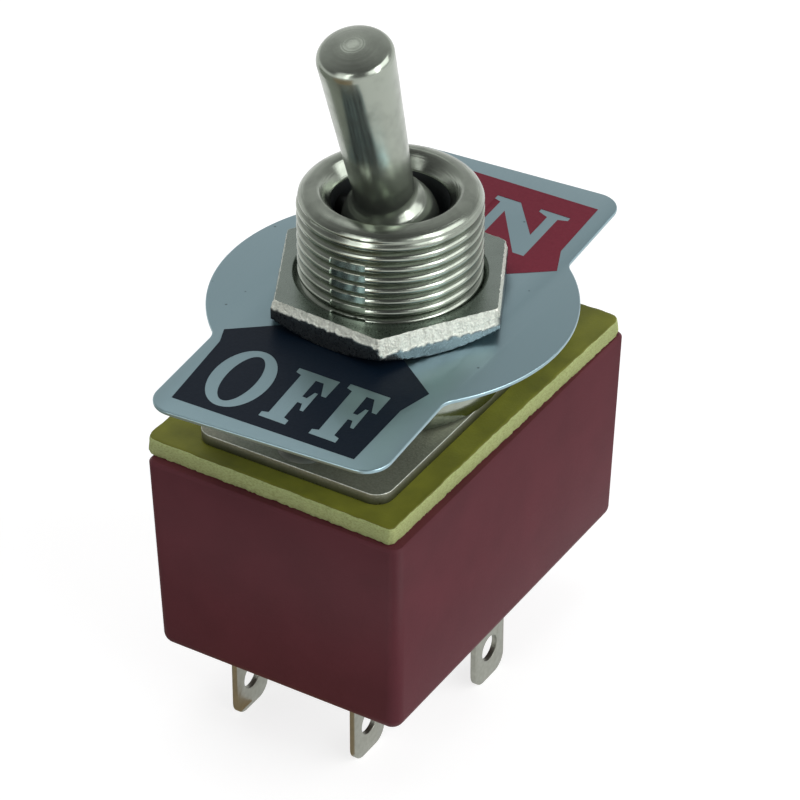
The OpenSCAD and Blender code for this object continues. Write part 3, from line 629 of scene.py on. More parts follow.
def thread_tree(made):
    """Cuts a thread and a keyway into a turned blank, by drawing the points of its wall inwards."""
    labels = ("Pitch", "Depth", "Thread Bottom", "Thread Top", "Runout",
              "Key Angle", "Key Half Width", "Key Floor", "Key Top")
    tree, given_sizes, out = grow_tree("Cut thread", {label: 0.0 for label in labels})
    place = add(tree, "GeometryNodeInputPosition")
    x, y, z = add(tree, "ShaderNodeSeparateXYZ", {0: place}).outputs
    flat = add(tree, "ShaderNodeVectorMath", {0: place, 1: (1, 1, 0)}, operation="MULTIPLY")
    radius = add(tree, "ShaderNodeVectorMath", {0: flat}, operation="LENGTH").outputs["Value"]
    full_depth = add(tree, "ShaderNodeMath", {
        0: given_sizes["Thread Top"], 1: given_sizes["Runout"]}, operation="SUBTRACT")
    fade = add(tree, "ShaderNodeMapRange", {
        "Value": z, "From Min": given_sizes["Thread Top"], "From Max": full_depth},
        interpolation_type="SMOOTHSTEP").outputs[0]

    # Each sum takes sizes, plain numbers and the sums before it
    value = {"x": x, "y": y, "z": z, "radius": radius, "fade": fade}
    value.update({label: given_sizes[label] for label in labels})
    sums = {
        # Height in pitches, carried round by the angle, rises and falls once a turn
        "angle": ("ARCTAN2", "y", "x"),
        "height": ("DIVIDE", "z", "Pitch"),
        "turns": ("MULTIPLY_ADD", "angle", -1 / TAU, "height"),
        "wave": ("PINGPONG", "turns", 0.5),
        "twice": ("MULTIPLY", "wave", 2.0),
        # Round crests with narrow roots between them
        "groove": ("POWER", "twice", 2.3),
        "faded": ("MULTIPLY", "groove", "fade"),
        "deep": ("MULTIPLY", "faded", "Depth"),
        "above": ("GREATER_THAN", "z", "Thread Bottom"),
        "cut": ("MULTIPLY", "deep", "above"),
        "threaded": ("SUBTRACT", "radius", "cut"),
        # Nothing within the keyway's width stands out past its floor
        "off": ("SUBTRACT", "angle", "Key Angle"),
        "sine": ("SINE", "off"),
        "across": ("MULTIPLY", "sine", "radius"),
        "aside": ("ABSOLUTE", "across"),
        "within": ("LESS_THAN", "aside", "Key Half Width"),
        "cosine": ("COSINE", "off"),
        "facing": ("GREATER_THAN", "cosine", 0.5),
        "under": ("LESS_THAN", "z", "Key Top"),
        "column": ("MULTIPLY", "within", "facing"),
        "keyed": ("MULTIPLY", "column", "under"),
        "floored": ("MINIMUM", "threaded", "Key Floor"),
    }
    for name, (operation, *terms) in sums.items():
        value[name] = add(tree, "ShaderNodeMath", {
            i: value.get(term, term) for i, term in enumerate(terms)}, operation=operation).outputs[0]

    reach = add(tree, "GeometryNodeSwitch", {
        "Switch": value["keyed"], "False": value["threaded"], "True": value["floored"]},
        input_type="FLOAT")
    scale = add(tree, "ShaderNodeMath", {0: reach, 1: radius}, operation="DIVIDE")
    drawn = add(tree, "ShaderNodeVectorMath", {0: place, 1: add(tree, "ShaderNodeCombineXYZ", {
        "X": scale, "Y": scale, "Z": 1.0})}, operation="MULTIPLY")
    wall = add(tree, "GeometryNodeInputNamedAttribute", {"Name": "wall"}, data_type="FLOAT")
    on_wall = add(tree, "ShaderNodeMath", {0: wall, 1: 0.5}, operation="GREATER_THAN")
    end_tree(tree, out, add(tree, "GeometryNodeSetPosition", {
        "Geometry": given_sizes["Geometry"], "Selection": on_wall, "Position": drawn}), made)
    return tree


def ring_tree(made):
    """Sets copies of the given shape round Z, evenly, with a first angle."""
    tree, given_sizes, out = grow_tree("Round the axis", {"Count": 1, "First Angle": 0.0})
    spots = add(tree, "GeometryNodeMeshLine", {
        "Count": given_sizes["Count"], "Start Location": (0, 0, 0), "Offset": (0, 0, 0)})
    step = add(tree, "ShaderNodeMath", {0: TAU, 1: given_sizes["Count"]}, operation="DIVIDE")
    angle = add(tree, "ShaderNodeMath", {
        0: add(tree, "GeometryNodeInputIndex"), 1: step, 2: given_sizes["First Angle"]},
        operation="MULTIPLY_ADD")
    end_tree(tree, out, add(tree, "GeometryNodeInstanceOnPoints", {
        "Points": spots, "Instance": given_sizes["Geometry"],
        "Rotation": add(tree, "ShaderNodeCombineXYZ", {"Z": angle})}), made)
    return tree


# ---- Shapes --------------------------------------------------------------------------------------

def label_outline(sizes):
    """The label seen from above: a round middle, a tab at each end and a hollow beside each tab."""
    middle = sizes.middle / 2
    hollow_y = sizes.tab_width / 2 + sizes.hollow
    hollow_x = math.sqrt((middle + sizes.hollow) ** 2 - hollow_y ** 2)
    joint = math.degrees(math.atan2(hollow_y, hollow_x))
    corner = (sizes.length / 2 - sizes.tab_corner, sizes.tab_width / 2 - sizes.tab_corner)
    quarter = (arc(corner, sizes.tab_corner, 0, 90, 12)
               + arc((hollow_x, hollow_y), sizes.hollow, 270, 180 + joint, 10)
               + arc((0, 0), middle, joint + 2, 88, 24))
    half = quarter + [(-x, y) for x, y in reversed(quarter)]
    return half + [(-x, -y) for x, y in half]


def turned(points, angle, shift=(0, 0)):
    """Points turned about the middle after a shift."""
    c, s = math.cos(angle), math.sin(angle)
    return [((x + shift[0]) * c - (y + shift[1]) * s, (x + shift[0]) * s + (y + shift[1]) * c)
            for x, y in points]


# Capitals with slab serifs: thin upright strokes and one thick one. Width, then height, from 0 to 1
LETTER_F = [[(0.0, 0.0), (0.64, 0.0), (0.64, 0.085), (0.51, 0.11), (0.51, 0.43), (0.62, 0.43),
             (0.68, 0.31), (0.76, 0.31), (0.76, 0.68), (0.68, 0.68), (0.62, 0.55), (0.51, 0.55),
             (0.51, 0.88), (0.70, 0.88), (0.85, 0.66), (0.96, 0.66), (0.98, 1.0), (0.0, 1.0),
             (0.0, 0.915), (0.14, 0.89), (0.14, 0.11), (0.0, 0.085)]]
LETTER_N = [[(0.0, 0.0), (0.34, 0.0), (0.34, 0.07), (0.23, 0.10), (0.23, 0.74), (0.73, 0.0),
             (0.88, 0.0), (0.88, 0.89), (1.0, 0.93), (1.0, 1.0), (0.60, 1.0), (0.60, 0.94),
             (0.74, 0.88), (0.74, 0.44), (0.32, 1.0), (0.0, 1.0), (0.0, 0.92), (0.09, 0.89),
             (0.09, 0.10), (0.0, 0.07)]]


def letter_o():
    """A round capital: its two sides are thick and its top and bottom thin."""
    angles = steps_between(0, TAU, 48)
    return [[(0.5 + wide * math.cos(angle), 0.5 + tall * math.sin(angle)) for angle in angles]
            for wide, tall in ((0.5, 0.5), (0.26, 0.40))]


def set_letter(letter, foot, head):
    """Places a letter between a foot and a head line, each given as (x, left y, right y) in mm."""
    placed = []
    for outline in letter:
        points = []
        for along, up in outline:
            low = foot[1] + (foot[2] - foot[1]) * along
            high = head[1] + (head[2] - head[1]) * along
            points.append(((foot[0] + (head[0] - foot[0]) * up) * MM, (low + (high - low) * up) * MM))
        placed.append(points)
    return placed


# ---- Operators -----------------------------------------------------------------------------------

def thread_core():
    """Radius of the bush's plain part inside the nuts, which the nuts' holes follow."""
    return THREAD_R - 0.325 * given("switch_bush").pitch


class SWITCH_OT_bush(bpy.types.Operator):
    """Turn the bush, and cut its thread and keyway"""
    bl_idname = "switch.bush"
    bl_label = "Threaded bush"

    # The thread starts a little below the front nut's outer face, so the nut hides where it begins
    thread_bottom = -0.4 * MM

    def execute(self, context):
        sizes, colours = given("switch_bush"), given("switch_colours")
        key_angle = math.pi + given("switch_label").turn
        work = revolve(self.outline(sizes), self.columns(sizes, key_angle))
        rim_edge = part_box("bush")[1][2] - 0.3 * MM
        on_wall = work.verts.layers.float.new("wall")
        for vert in work.verts:
            x, y, z = vert.co
            if math.hypot(x, y) > THREAD_R * 0.9 and self.thread_bottom - 1e-6 <= z < rim_edge:
                vert[on_wall] = 1.0
        nickel = turned_nickel("nickel_plated_brass", colours.nickel, 0.12)
        mesh = run_tree(to_mesh(work), thread_tree(nickel), {
            "Pitch": sizes.pitch, "Depth": sizes.depth, "Thread Bottom": self.thread_bottom,
            "Thread Top": sizes.thread_top, "Runout": 0.5 * MM, "Key Angle": key_angle,
            "Key Half Width": sizes.key_width / 2, "Key Floor": THREAD_R - sizes.key_depth,
            "Key Top": sizes.key_top})
        # The bore below the flare is painted dark: grease, and painted shade of the deep hole
        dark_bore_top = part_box("bush")[1][2] - sizes.flare_depth - 0.2 * MM
        inside = [int(polygon.center.z < dark_bore_top
                      and math.hypot(*polygon.center.xy) < sizes.bore / 2 + 0.02 * MM)
                  for polygon in mesh.polygons]
        piece = finish_piece(mesh, "threaded_bush", "base", ["bush"],
                             [nickel, greased_shaded("greased_shaded_bore", colours.grease_and_shade)], math.radians(50))
        piece.data.polygons.foreach_set("material_index", inside)
        return {"FINISHED"}

    def outline(self, sizes):
        """The bush's section: spigot and lip, flange, core, threaded wall, rim, flare and bore."""
        low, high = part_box("bush")
        flange_r, top = high[0], high[2]
        flange_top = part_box("back_nut")[0][2]
        board_top, plate_top = (corner[2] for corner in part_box("mounting_plate"))
        keeper_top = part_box("pin_keeper")[1][2]
        bore_r, mouth_r = sizes.bore / 2, sizes.mouth / 2
        spigot_r = bore_r + sizes.spigot_wall
        lip_r = spigot_r + sizes.lip
        core_r, edge = thread_core(), 0.2 * MM
        crest_r, rim_low = THREAD_R - sizes.rim_width, top - sizes.rim_round

        # Two rows of points close together make the keyway's closed end sharp
        end = 0.01 * MM
        heights = [z for z in steps_between(self.thread_bottom, rim_low, 190)
                   if abs(z - sizes.key_top) > 2 * end]
        wall = [(THREAD_R, z) for z in sorted(heights + [sizes.key_top - end, sizes.key_top + end])]
        rim = [(crest_r + x, rim_low + y * sizes.rim_round / sizes.rim_width)
               for x, y in arc((0, 0), sizes.rim_width, 0, 90, 18)]
        flare = [(crest_r + (mouth_r - crest_r) * share, top - sizes.flare_depth * share ** 1.5)
                 for share in steps_between(0, 1, 12)[1:] + [1]]
        return (
            [(bore_r, low[2]), (lip_r - 0.3 * sizes.lip, low[2]),
             (lip_r, low[2] + 0.4 * sizes.lip_height), (lip_r, board_top), (spigot_r, board_top),
             (spigot_r, plate_top), (flange_r - edge, plate_top), (flange_r, plate_top + edge),
             (flange_r, flange_top - edge), (flange_r - edge, flange_top), (core_r, flange_top),
             (core_r, self.thread_bottom - edge)]
            + wall + rim + flare + [(mouth_r, keeper_top), (bore_r, keeper_top)])

    def columns(self, sizes, key_angle):
        """Angles of the wall's columns: even, but with two close together at each side of the keyway."""
        half = math.asin(sizes.key_width / 2 / THREAD_R)
        beside = 0.004
        sides = [key_angle + side * half + bit for side in (-1, 1) for bit in (-beside, beside)]
        even = [angle for angle in steps_between(0, TAU, 320)
                if min(abs(angle - side) for side in sides) > 2 * beside]
        return sorted(even + sides)


class SWITCH_OT_nuts(bpy.types.Operator):
    """Blank and bevel the two hexagonal nuts, and countersink their plain holes"""
    bl_idname = "switch.nuts"
    bl_label = "Hexagonal nuts"

    def execute(self, context):
        sizes, colours = given("switch_nut"), given("switch_colours")
        plated = stamped_nickel("nickel_plated_steel", colours.nickel_dull, colours.torn,
                                colours.burnished_shade)
        for name, turn, seed in (("front_nut", sizes.front_turn, 3.0),
                                 ("back_nut", sizes.back_turn, 40.0)):
            low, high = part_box(name)
            finish_piece(self.nut(sizes, low[2], high[2], turn, seed), name + "_hex", "base",
                         [name], [plated], math.radians(38))
        return {"FINISHED"}

    def nut(self, sizes, low, high, turn, seed):
        """Rings of points: up the six flats with their torn band, over the top and down the hole."""
        work = bmesh.new()
        angles = [turn + angle for angle in steps_between(0, TAU, 432)]
        torn = work.verts.layers.float.new("torn")
        burnished_shade = work.verts.layers.float.new("burnished_shade")
        thickness = high - low
        break_low = thickness - sizes.corner_break
        rings = []
        for z in (steps_between(0, sizes.seat_bevel, 8) + steps_between(sizes.seat_bevel, break_low, 14)
                  + steps_between(break_low, thickness, 4) + [thickness]):
            ring = []
            for angle in angles:
                radius, share = self.flat(sizes, thickness, angle - turn, z, seed)
                vert = work.verts.new((radius * math.cos(angle), radius * math.sin(angle), low + z))
                vert[torn] = share
                # The rest of each flat takes the darker burnished colour: burnished steel, and painted shade
                vert[burnished_shade] = 1 - share
                ring.append(vert)
            rings.append(ring)
        # The top starts a hair inside the flats, so that their torn look stops at the edge
        rings.append([work.verts.new((vert.co.x * 0.997, vert.co.y * 0.997, high)) for vert in rings[-1]])

        hole, soft = thread_core() + 0.02 * MM, sizes.sink_round
        lip = arc((hole + sizes.sink + 0.4 * soft, thickness - soft), soft, 90, 135, 5)
        lip_r, lip_low = lip[-1]
        for radius, z in (*lip, (hole, lip_low - (lip_r - hole)), (hole, sizes.sink),
                          (hole + sizes.sink, 0.04 * MM), (hole + sizes.sink + 0.03 * MM, 0)):
            rings.append([work.verts.new((radius * math.cos(angle), radius * math.sin(angle), low + z))
                          for angle in angles])
        bridged(work, rings)
        return to_mesh(work)

    def flat(self, sizes, thickness, angle, z, seed):
        """Radius at an angle and height, the least of hexagon, bevel and break, and how torn it is."""
        half = sizes.across_flats / 2
        corner, seat = half / math.cos(TAU / 12), half - 0.1 * MM
        from_middle = angle % (TAU / 6) - TAU / 12
        face = round(angle // (TAU / 6))
        band = sizes.sheared if face % 2 else sizes.sheared_narrow
        # Each flat of each nut has its own stretch of the noise; its frequencies are per metre
        along = half * math.tan(from_middle) + seed + half * 3 * face
        torn_low = (thickness - band + 0.22 * MM * noise.noise((along * 1300, seed, 0))
                    + 0.20 * MM * noise.noise((along * 3600, seed, 5)))
        share = min(1.0, max(0.0, (z - torn_low) / (0.1 * MM)))
        grain = noise.noise((along * 5200, z * 2600, seed)) + 0.6 * noise.noise(
            (along * 11000, z * 7000, seed + 9))
        torn_in = sizes.tear * (1 + 0.8 * grain) + 0.22 * (z - torn_low)
        corner_in = max(0.0, z - (thickness - sizes.corner_break))
        radius = min(half / math.cos(from_middle) - share * torn_in,
                     seat + (corner - seat) * z / sizes.seat_bevel, corner - corner_in)
        return radius, share


class SWITCH_OT_washer(bpy.types.Operator):
    """Stamp the lock washer and twist its teeth"""
    bl_idname = "switch.washer"
    bl_label = "Lock washer"

    def execute(self, context):
        sizes = given("switch_washer")
        low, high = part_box("lock_washer")
        steel = plain_metal("tempered_steel", given("switch_colours").steel, 0.34)
        outer, half = high[0], sizes.thickness / 2
        inner, edge = outer - sizes.ring, 0.06 * MM
        root, tip = inner + 0.3 * MM, THREAD_R + 0.15 * MM
        tooth = block((root - tip, sizes.tooth, sizes.thickness), edge, 2, ((root + tip) / 2, 0, 0))
        bmesh.ops.rotate(tooth, verts=tooth.verts, cent=(0, 0, 0),
                         matrix=Matrix.Rotation(sizes.twist, 3, "X"))
        teeth = run_tree(to_mesh(tooth), ring_tree(steel), {
            "Count": sizes.teeth, "First Angle": math.pi / sizes.teeth})
        work = revolve([(inner, -half + edge), (inner + edge, -half), (outer - edge, -half),
                        (outer, -half + edge), (outer, half - edge), (outer - edge, half),
                        (inner + edge, half), (inner, half - edge)], 160)
        work.from_mesh(teeth)
        bmesh.ops.translate(work, verts=work.verts, vec=(0, 0, (low[2] + high[2]) / 2))
        finish_piece(to_mesh(work), "tooth_lock_washer", "base", ["lock_washer"], [steel])
        return {"FINISHED"}


class SWITCH_OT_label(bpy.types.Operator):
    """Blank the label plate and print its two fields, with bare metal letters"""
    bl_idname = "switch.label"
    bl_label = "Label plate"

    def execute(self, context):
        sizes, colours = given("switch_label"), given("switch_colours")
        low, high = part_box("label_plate")
        satin = satin_aluminium("satin_aluminium", colours.aluminium)
        hole = arc((0, 0), THREAD_R + 0.1 * MM, 0, 357, 119)
        outline = turned(label_outline(sizes), sizes.turn, (-sizes.off_x, -sizes.off_y))
        work = filled([outline, hole], high[2] - low[2], 0.1 * MM)
        bmesh.ops.translate(work, verts=work.verts, vec=(0, 0, low[2]))
        finish_piece(to_mesh(work), "label_sheet", "base", ["label_plate"], [satin],
                     math.radians(50))

        # Each field's corners in millimetres, and its letters between their foot and head lines
        off_field = [(-16.81, 5.60), (-10.05, 6.50), (-8.79, 7.02), (-6.0, 3.6), (-5.4, -4.0),
                     (-8.12, -7.84), (-10.59, -7.27), (-16.47, -7.55)]
        on_field = [(15.90, 6.3), (16.13, -6.25), (10.42, -6.67), (8.20, -7.64), (5.4, -4.0),
                    (5.6, 4.2), (7.9, 7.4), (10.1, 6.6)]
        off_letters = (set_letter(letter_o(), (-16.05, 4.75, 0.72), (-9.6, 5.35, 1.32))
                       + set_letter(LETTER_F, (-15.6, -0.03, -3.1), (-9.93, 0.57, -2.5))
                       + set_letter(LETTER_F, (-15.6, -3.7, -6.75), (-9.75, -3.1, -6.1)))
        on_letters = (set_letter(letter_o(), (8.5, 5.2, 1.2), (14.3, 5.5, 1.5))
                      + set_letter(LETTER_N, (8.6, 0.0, -5.55), (14.2, 0.33, -5.23)))
        for name, field, letters, ink in (
                ("print_off", off_field, off_letters, printed_ink("black_enamel_ink", colours.black_ink)),
                ("print_on", on_field, on_letters, printed_ink("red_enamel_ink", colours.red_ink))):
            work = filled([[(x * MM, y * MM) for x, y in field]] + letters, sizes.ink)
            bmesh.ops.translate(work, verts=work.verts, vec=(0, 0, high[2]))
            finish_piece(to_mesh(work), name, "base", [], [ink])
        return {"FINISHED"}


class SWITCH_OT_lever(bpy.types.Operator):
    """Turn the lever with its ball and flattened tail"""
    bl_idname = "switch.lever"
    bl_label = "Lever"

    def execute(self, context):
        sizes = given("switch_lever")
        work = revolve(self.outline(sizes), 128)
        # The tail reaches from inside the ball to the CAD lever's lowest point
        drop = PIVOT.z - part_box("lever")[0][2] - math.sin(LEVER_LEAN) * sizes.tail_thickness / 2
        tail_end, tail_start = drop / math.cos(LEVER_LEAN), 0.8 * sizes.ball / 2
        tail = to_mesh(block((sizes.tail_thickness, sizes.tail_width, tail_end - tail_start),
                             0.2 * MM, 3, (0, 0, -(tail_end + tail_start) / 2)))
        work.from_mesh(tail)
        bpy.data.meshes.remove(tail)
        lean = Matrix.Translation(PIVOT) @ Matrix.Rotation(-LEVER_LEAN, 4, "Y")
        bmesh.ops.transform(work, verts=work.verts, matrix=lean)
        nickel = turned_nickel("handled_nickel_plating", given("switch_colours").handled_nickel,
                               0.22, 0.85, LEVER_LEAN, PIVOT.z)
        finish_piece(to_mesh(work), "bat_lever", "lever", ["lever"], [nickel],
                     math.radians(50))
        return {"FINISHED"}

    def outline(self, sizes):
        """The lever's section from the ball's foot, up the tapered bat, to the crowned tip."""
        ball, neck, tip = sizes.ball / 2, sizes.neck / 2, sizes.tip / 2
        meet = math.acos(neck / ball)
        meet_z = ball * math.sin(meet)
        taper_low, sweep = 3 * MM, 68
        crown_low = sizes.length + sizes.edge * math.sin(math.radians(sweep))
        crown_r = tip - sizes.edge * (1 - math.cos(math.radians(sweep)))
        outline = [(0, -ball)] + arc((0, 0), ball, -90, math.degrees(meet) - 6, 26)[1:]
        outline += [(neck + 0.06 * MM, meet_z + 0.10 * MM), (neck, meet_z + 0.4 * MM)]
        taper = zip(steps_between(neck, tip, 12), steps_between(taper_low, sizes.length, 12))
        outline += list(taper)[1:]
        outline += arc((tip - sizes.edge, sizes.length), sizes.edge, 0, sweep, 10)
        outline += [(crown_r * (1 - share), crown_low + sizes.crown * (1 - (1 - share) ** 2))
                    for share in steps_between(0, 1, 14)[1:]]
        return outline + [(0, crown_low + sizes.crown)]


class SWITCH_OT_plates(bpy.types.Operator):
    """Blank the mounting plate and saw the insulating board, with its frayed edge"""
    bl_idname = "switch.plates"
    bl_label = "Plate and board"

    def execute(self, context):
        colours = given("switch_colours")
        self.plate(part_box("mounting_plate")[1][2], colours)
        mesh = to_mesh(self.board(given("switch_board")))
        cut_faces = [polygon.material_index for polygon in mesh.polygons]
        piece = finish_piece(mesh, "fibre_board", "base", ["insulating_board"],
                             [fibre_sheet("laminated_fibre_face", colours.board),
                              fibre_cut("laminated_fibre_cut", colours.board_edge, colours.board)],
                             math.radians(40))
        piece.data.polygons.foreach_set("material_index", cut_faces)
        return {"FINISHED"}

    def plate(self, top, colours):
        """The mounting plate: hazy on its top and bare at its sides; its top edge's bevel takes the nuts'
        near-white torn finish, a burr with a painted highlight along it.
        """
        plated = stamped_nickel("dull_plated_steel", colours.steel, colours.plate_haze, colours.steel)
        bevel = 0.15 * MM
        sheet = dressed_copy("mounting_plate", bevel)
        haze = sheet.attributes.new("torn", "FLOAT", "POINT")
        haze.data.foreach_set("value", [0.7 if vert.co.z > top - 0.1 * MM else 0.0
                                        for vert in sheet.vertices])
        # Bevel faces of the top edge get the nuts' bright torn finish: a burr, and a painted highlight
        marked_with_painted_light = [int(polygon.center.z > top - bevel + 0.01 * MM and polygon.normal.z < 0.97)
                  for polygon in sheet.polygons]
        piece = finish_piece(sheet, "mounting_sheet", "base", ["mounting_plate"],
                             [plated, bpy.data.materials["nickel_plated_steel"]])
        piece.data.polygons.foreach_set("material_index", marked_with_painted_light)

    def edge_line(self, sizes, half_x, half_y):
        """The board's outline as close points, with one corner sharper than the others."""
        points, spacing = [], 0.00013
        for side_x, side_y, start in ((1, 1, 0), (-1, 1, 90), (-1, -1, 180), (1, -1, 270)):
            radius = sizes.sharp_corner if side_x + side_y < 0 else sizes.corner
            middle = (side_x * (half_x - radius), side_y * (half_y - radius))
            points += arc(middle, radius, start, start + 90, 12)
        close = []
        for (x, y), (next_x, next_y) in zip(points, points[1:] + points[:1]):
            count = max(1, round(math.hypot(next_x - x, next_y - y) / spacing))
            close += zip(steps_between(x, next_x, count), steps_between(y, next_y, count))
        return close

    def board(self, sizes):
        """Rings of points: up the ragged sawn edge, in over the top, and down the middle hole."""
        low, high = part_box("insulating_board")
        case_low, case_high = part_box("housing")
        thickness, bush = high[2] - low[2], given("switch_bush")
        hole = bush.bore / 2 + bush.spigot_wall + bush.lip + 0.1 * MM
        line = self.edge_line(sizes, (case_high[0] - case_low[0]) / 2 - sizes.inset_x,
                              (case_high[1] - case_low[1]) / 2 - sizes.inset_y)
        # Share of the thickness, and how far in from the outline in millimetres
        steps = ((0.0, 0.10), (0.02, 0.04), (0.10, 0.0), (0.30, 0.0), (0.50, 0.0), (0.70, 0.01),
                 (0.86, 0.04), (0.96, 0.10), (1.0, 0.17), (1.0, 0.40), (1.0, 0.60))
        cut_bands = 7
        work = bmesh.new()
        rings = []
        for share, inward in steps:
            ring = []
            for x, y in line:
                out, length = self.reach(sizes, x, y, share, inward), math.hypot(x, y)
                ring.append(work.verts.new((x + x / length * out, y + y / length * out,
                                            share * thickness)))
            rings.append(ring)
        for share in (1.0, 0.0):
            rings.append([work.verts.new((hole * x / math.hypot(x, y), hole * y / math.hypot(x, y),
                                          share * thickness)) for x, y in line])
        for faces in bridged(work, rings)[:cut_bands]:
            for face in faces:
                face.material_index = 1
        middle = Matrix.Translation(((low[0] + high[0]) / 2, (low[1] + high[1]) / 2, low[2]))
        turn = Matrix.Rotation(-sizes.turn, 4, "Z")
        bmesh.ops.transform(work, verts=work.verts, matrix=middle @ turn)
        return work

    def reach(self, sizes, x, y, share, inward):
        """How far out a point of the edge lies: a slow wander, fibres and a few burrs, less its step in."""
        # The saw leaves the lower edge more ragged; the noise's frequencies are per metre
        ragged = sizes.fray * (1 - share) if inward < 0.3 else 0.0
        wander = 0.8 * sizes.fray * noise.noise((x * 1500, y * 1500, share * 1.4)) + (
            0.2 * sizes.fray + ragged) * noise.noise((x * 5200, y * 5200, share * 4 + 4))
        burr = max(0.0, noise.noise((x * 900 + 7, y * 900, 11)) - 0.42) * sizes.fray * 5
        return min(0.0, wander - 0.5 * sizes.fray) - inward * MM + burr * (0.3 < share < 0.9)


class SWITCH_OT_housing(bpy.types.Operator):
    """Mould the housing, with its softened ledge and edges"""
    bl_idname = "switch.housing"
    bl_label = "Housing"

    def execute(self, context):
        skin = moulded("moulded_phenolic", given("switch_colours").phenolic, 0.58, 0.86)
        finish_piece(dressed_copy("housing", 0.1 * MM), "moulded_case", "base", ["housing"],
                     [skin], math.radians(30))
        return {"FINISHED"}


class SWITCH_OT_rivets(bpy.types.Operator):
    """Head and flare the two rivets"""
    bl_idname = "switch.rivets"
    bl_label = "Rivets"

    def execute(self, context):
        plated = plain_metal("dull_plated_rivet", given("switch_colours").steel, 0.5)
        finish_piece(dressed_copy("body_rivets", 0.05 * MM), "round_head_rivets", "base",
                     ["body_rivets"], [plated])
        return {"FINISHED"}


class SWITCH_OT_terminals(bpy.types.Operator):
    """Stamp the solder lugs and tin them"""
    bl_idname = "switch.terminals"
    bl_label = "Solder lugs"

    def execute(self, context):
        tinned = plain_metal("tinned_brass_strip", given("switch_colours").tin, 0.42)
        for kind in ("common_terminal", "line_terminal"):
            for side in SIDES:
                node = f"{kind}_{side}"
                finish_piece(dressed_copy(node, 0.06 * MM), node + "_strip", "base",
                             [node], [tinned])
        return {"FINISHED"}


class SWITCH_OT_insides(bpy.types.Operator):
    """Finish the parts inside the bush and housing"""
    bl_idname = "switch.insides"
    bl_label = "Inside parts"

    def execute(self, context):
        colours = given("switch_colours")
        finishes = {
            # The pin's dark colour is painted shade
            plain_metal("ground_steel_pin_in_shade", colours.shaded_pin_steel, 0.4): ["pivot_pin"],
            plain_metal("keeper_steel", colours.keeper_steel, 0.34): ["pin_keeper"],
            moulded("black_phenolic", colours.black_phenolic, 0.5): ["actuator"],
            moulded("natural_nylon", colours.nylon, 0.38): ["plunger_left", "plunger_right"],
            plain_metal("phosphor_bronze", colours.bronze, 0.3): ["rocker_left", "rocker_right"],
            plain_metal("fine_silver", colours.silver, 0.28): [
                f"{kind}_contact_{side}" for kind in ("moving", "fixed") for side in SIDES],
        }
        for finish, nodes in finishes.items():
            for node in nodes:
                mesh = frame["nodes"][node].data
                mesh.materials.clear()
                mesh.materials.append(finish)
        return {"FINISHED"}


class SWITCH_OT_springs(bpy.types.Operator):
    """Fit the plunger springs, each a copy of its CAD coil with its own mesh"""
    bl_idname = "switch.springs"
    bl_label = "Plunger springs"

    def execute(self, context):
        wire = plain_metal("drawn_spring_wire", given("switch_colours").spring_wire, 0.25)
        for side in SIDES:
            node, joint = f"plunger_spring_{side}", JOINTS[f"plunger_{side}_slide"]
            piece = finish_piece(to_mesh(merged_copy(node)), node + "_coil", "lever",
                                 [node], [wire])
            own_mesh(piece)
        return {"FINISHED"}


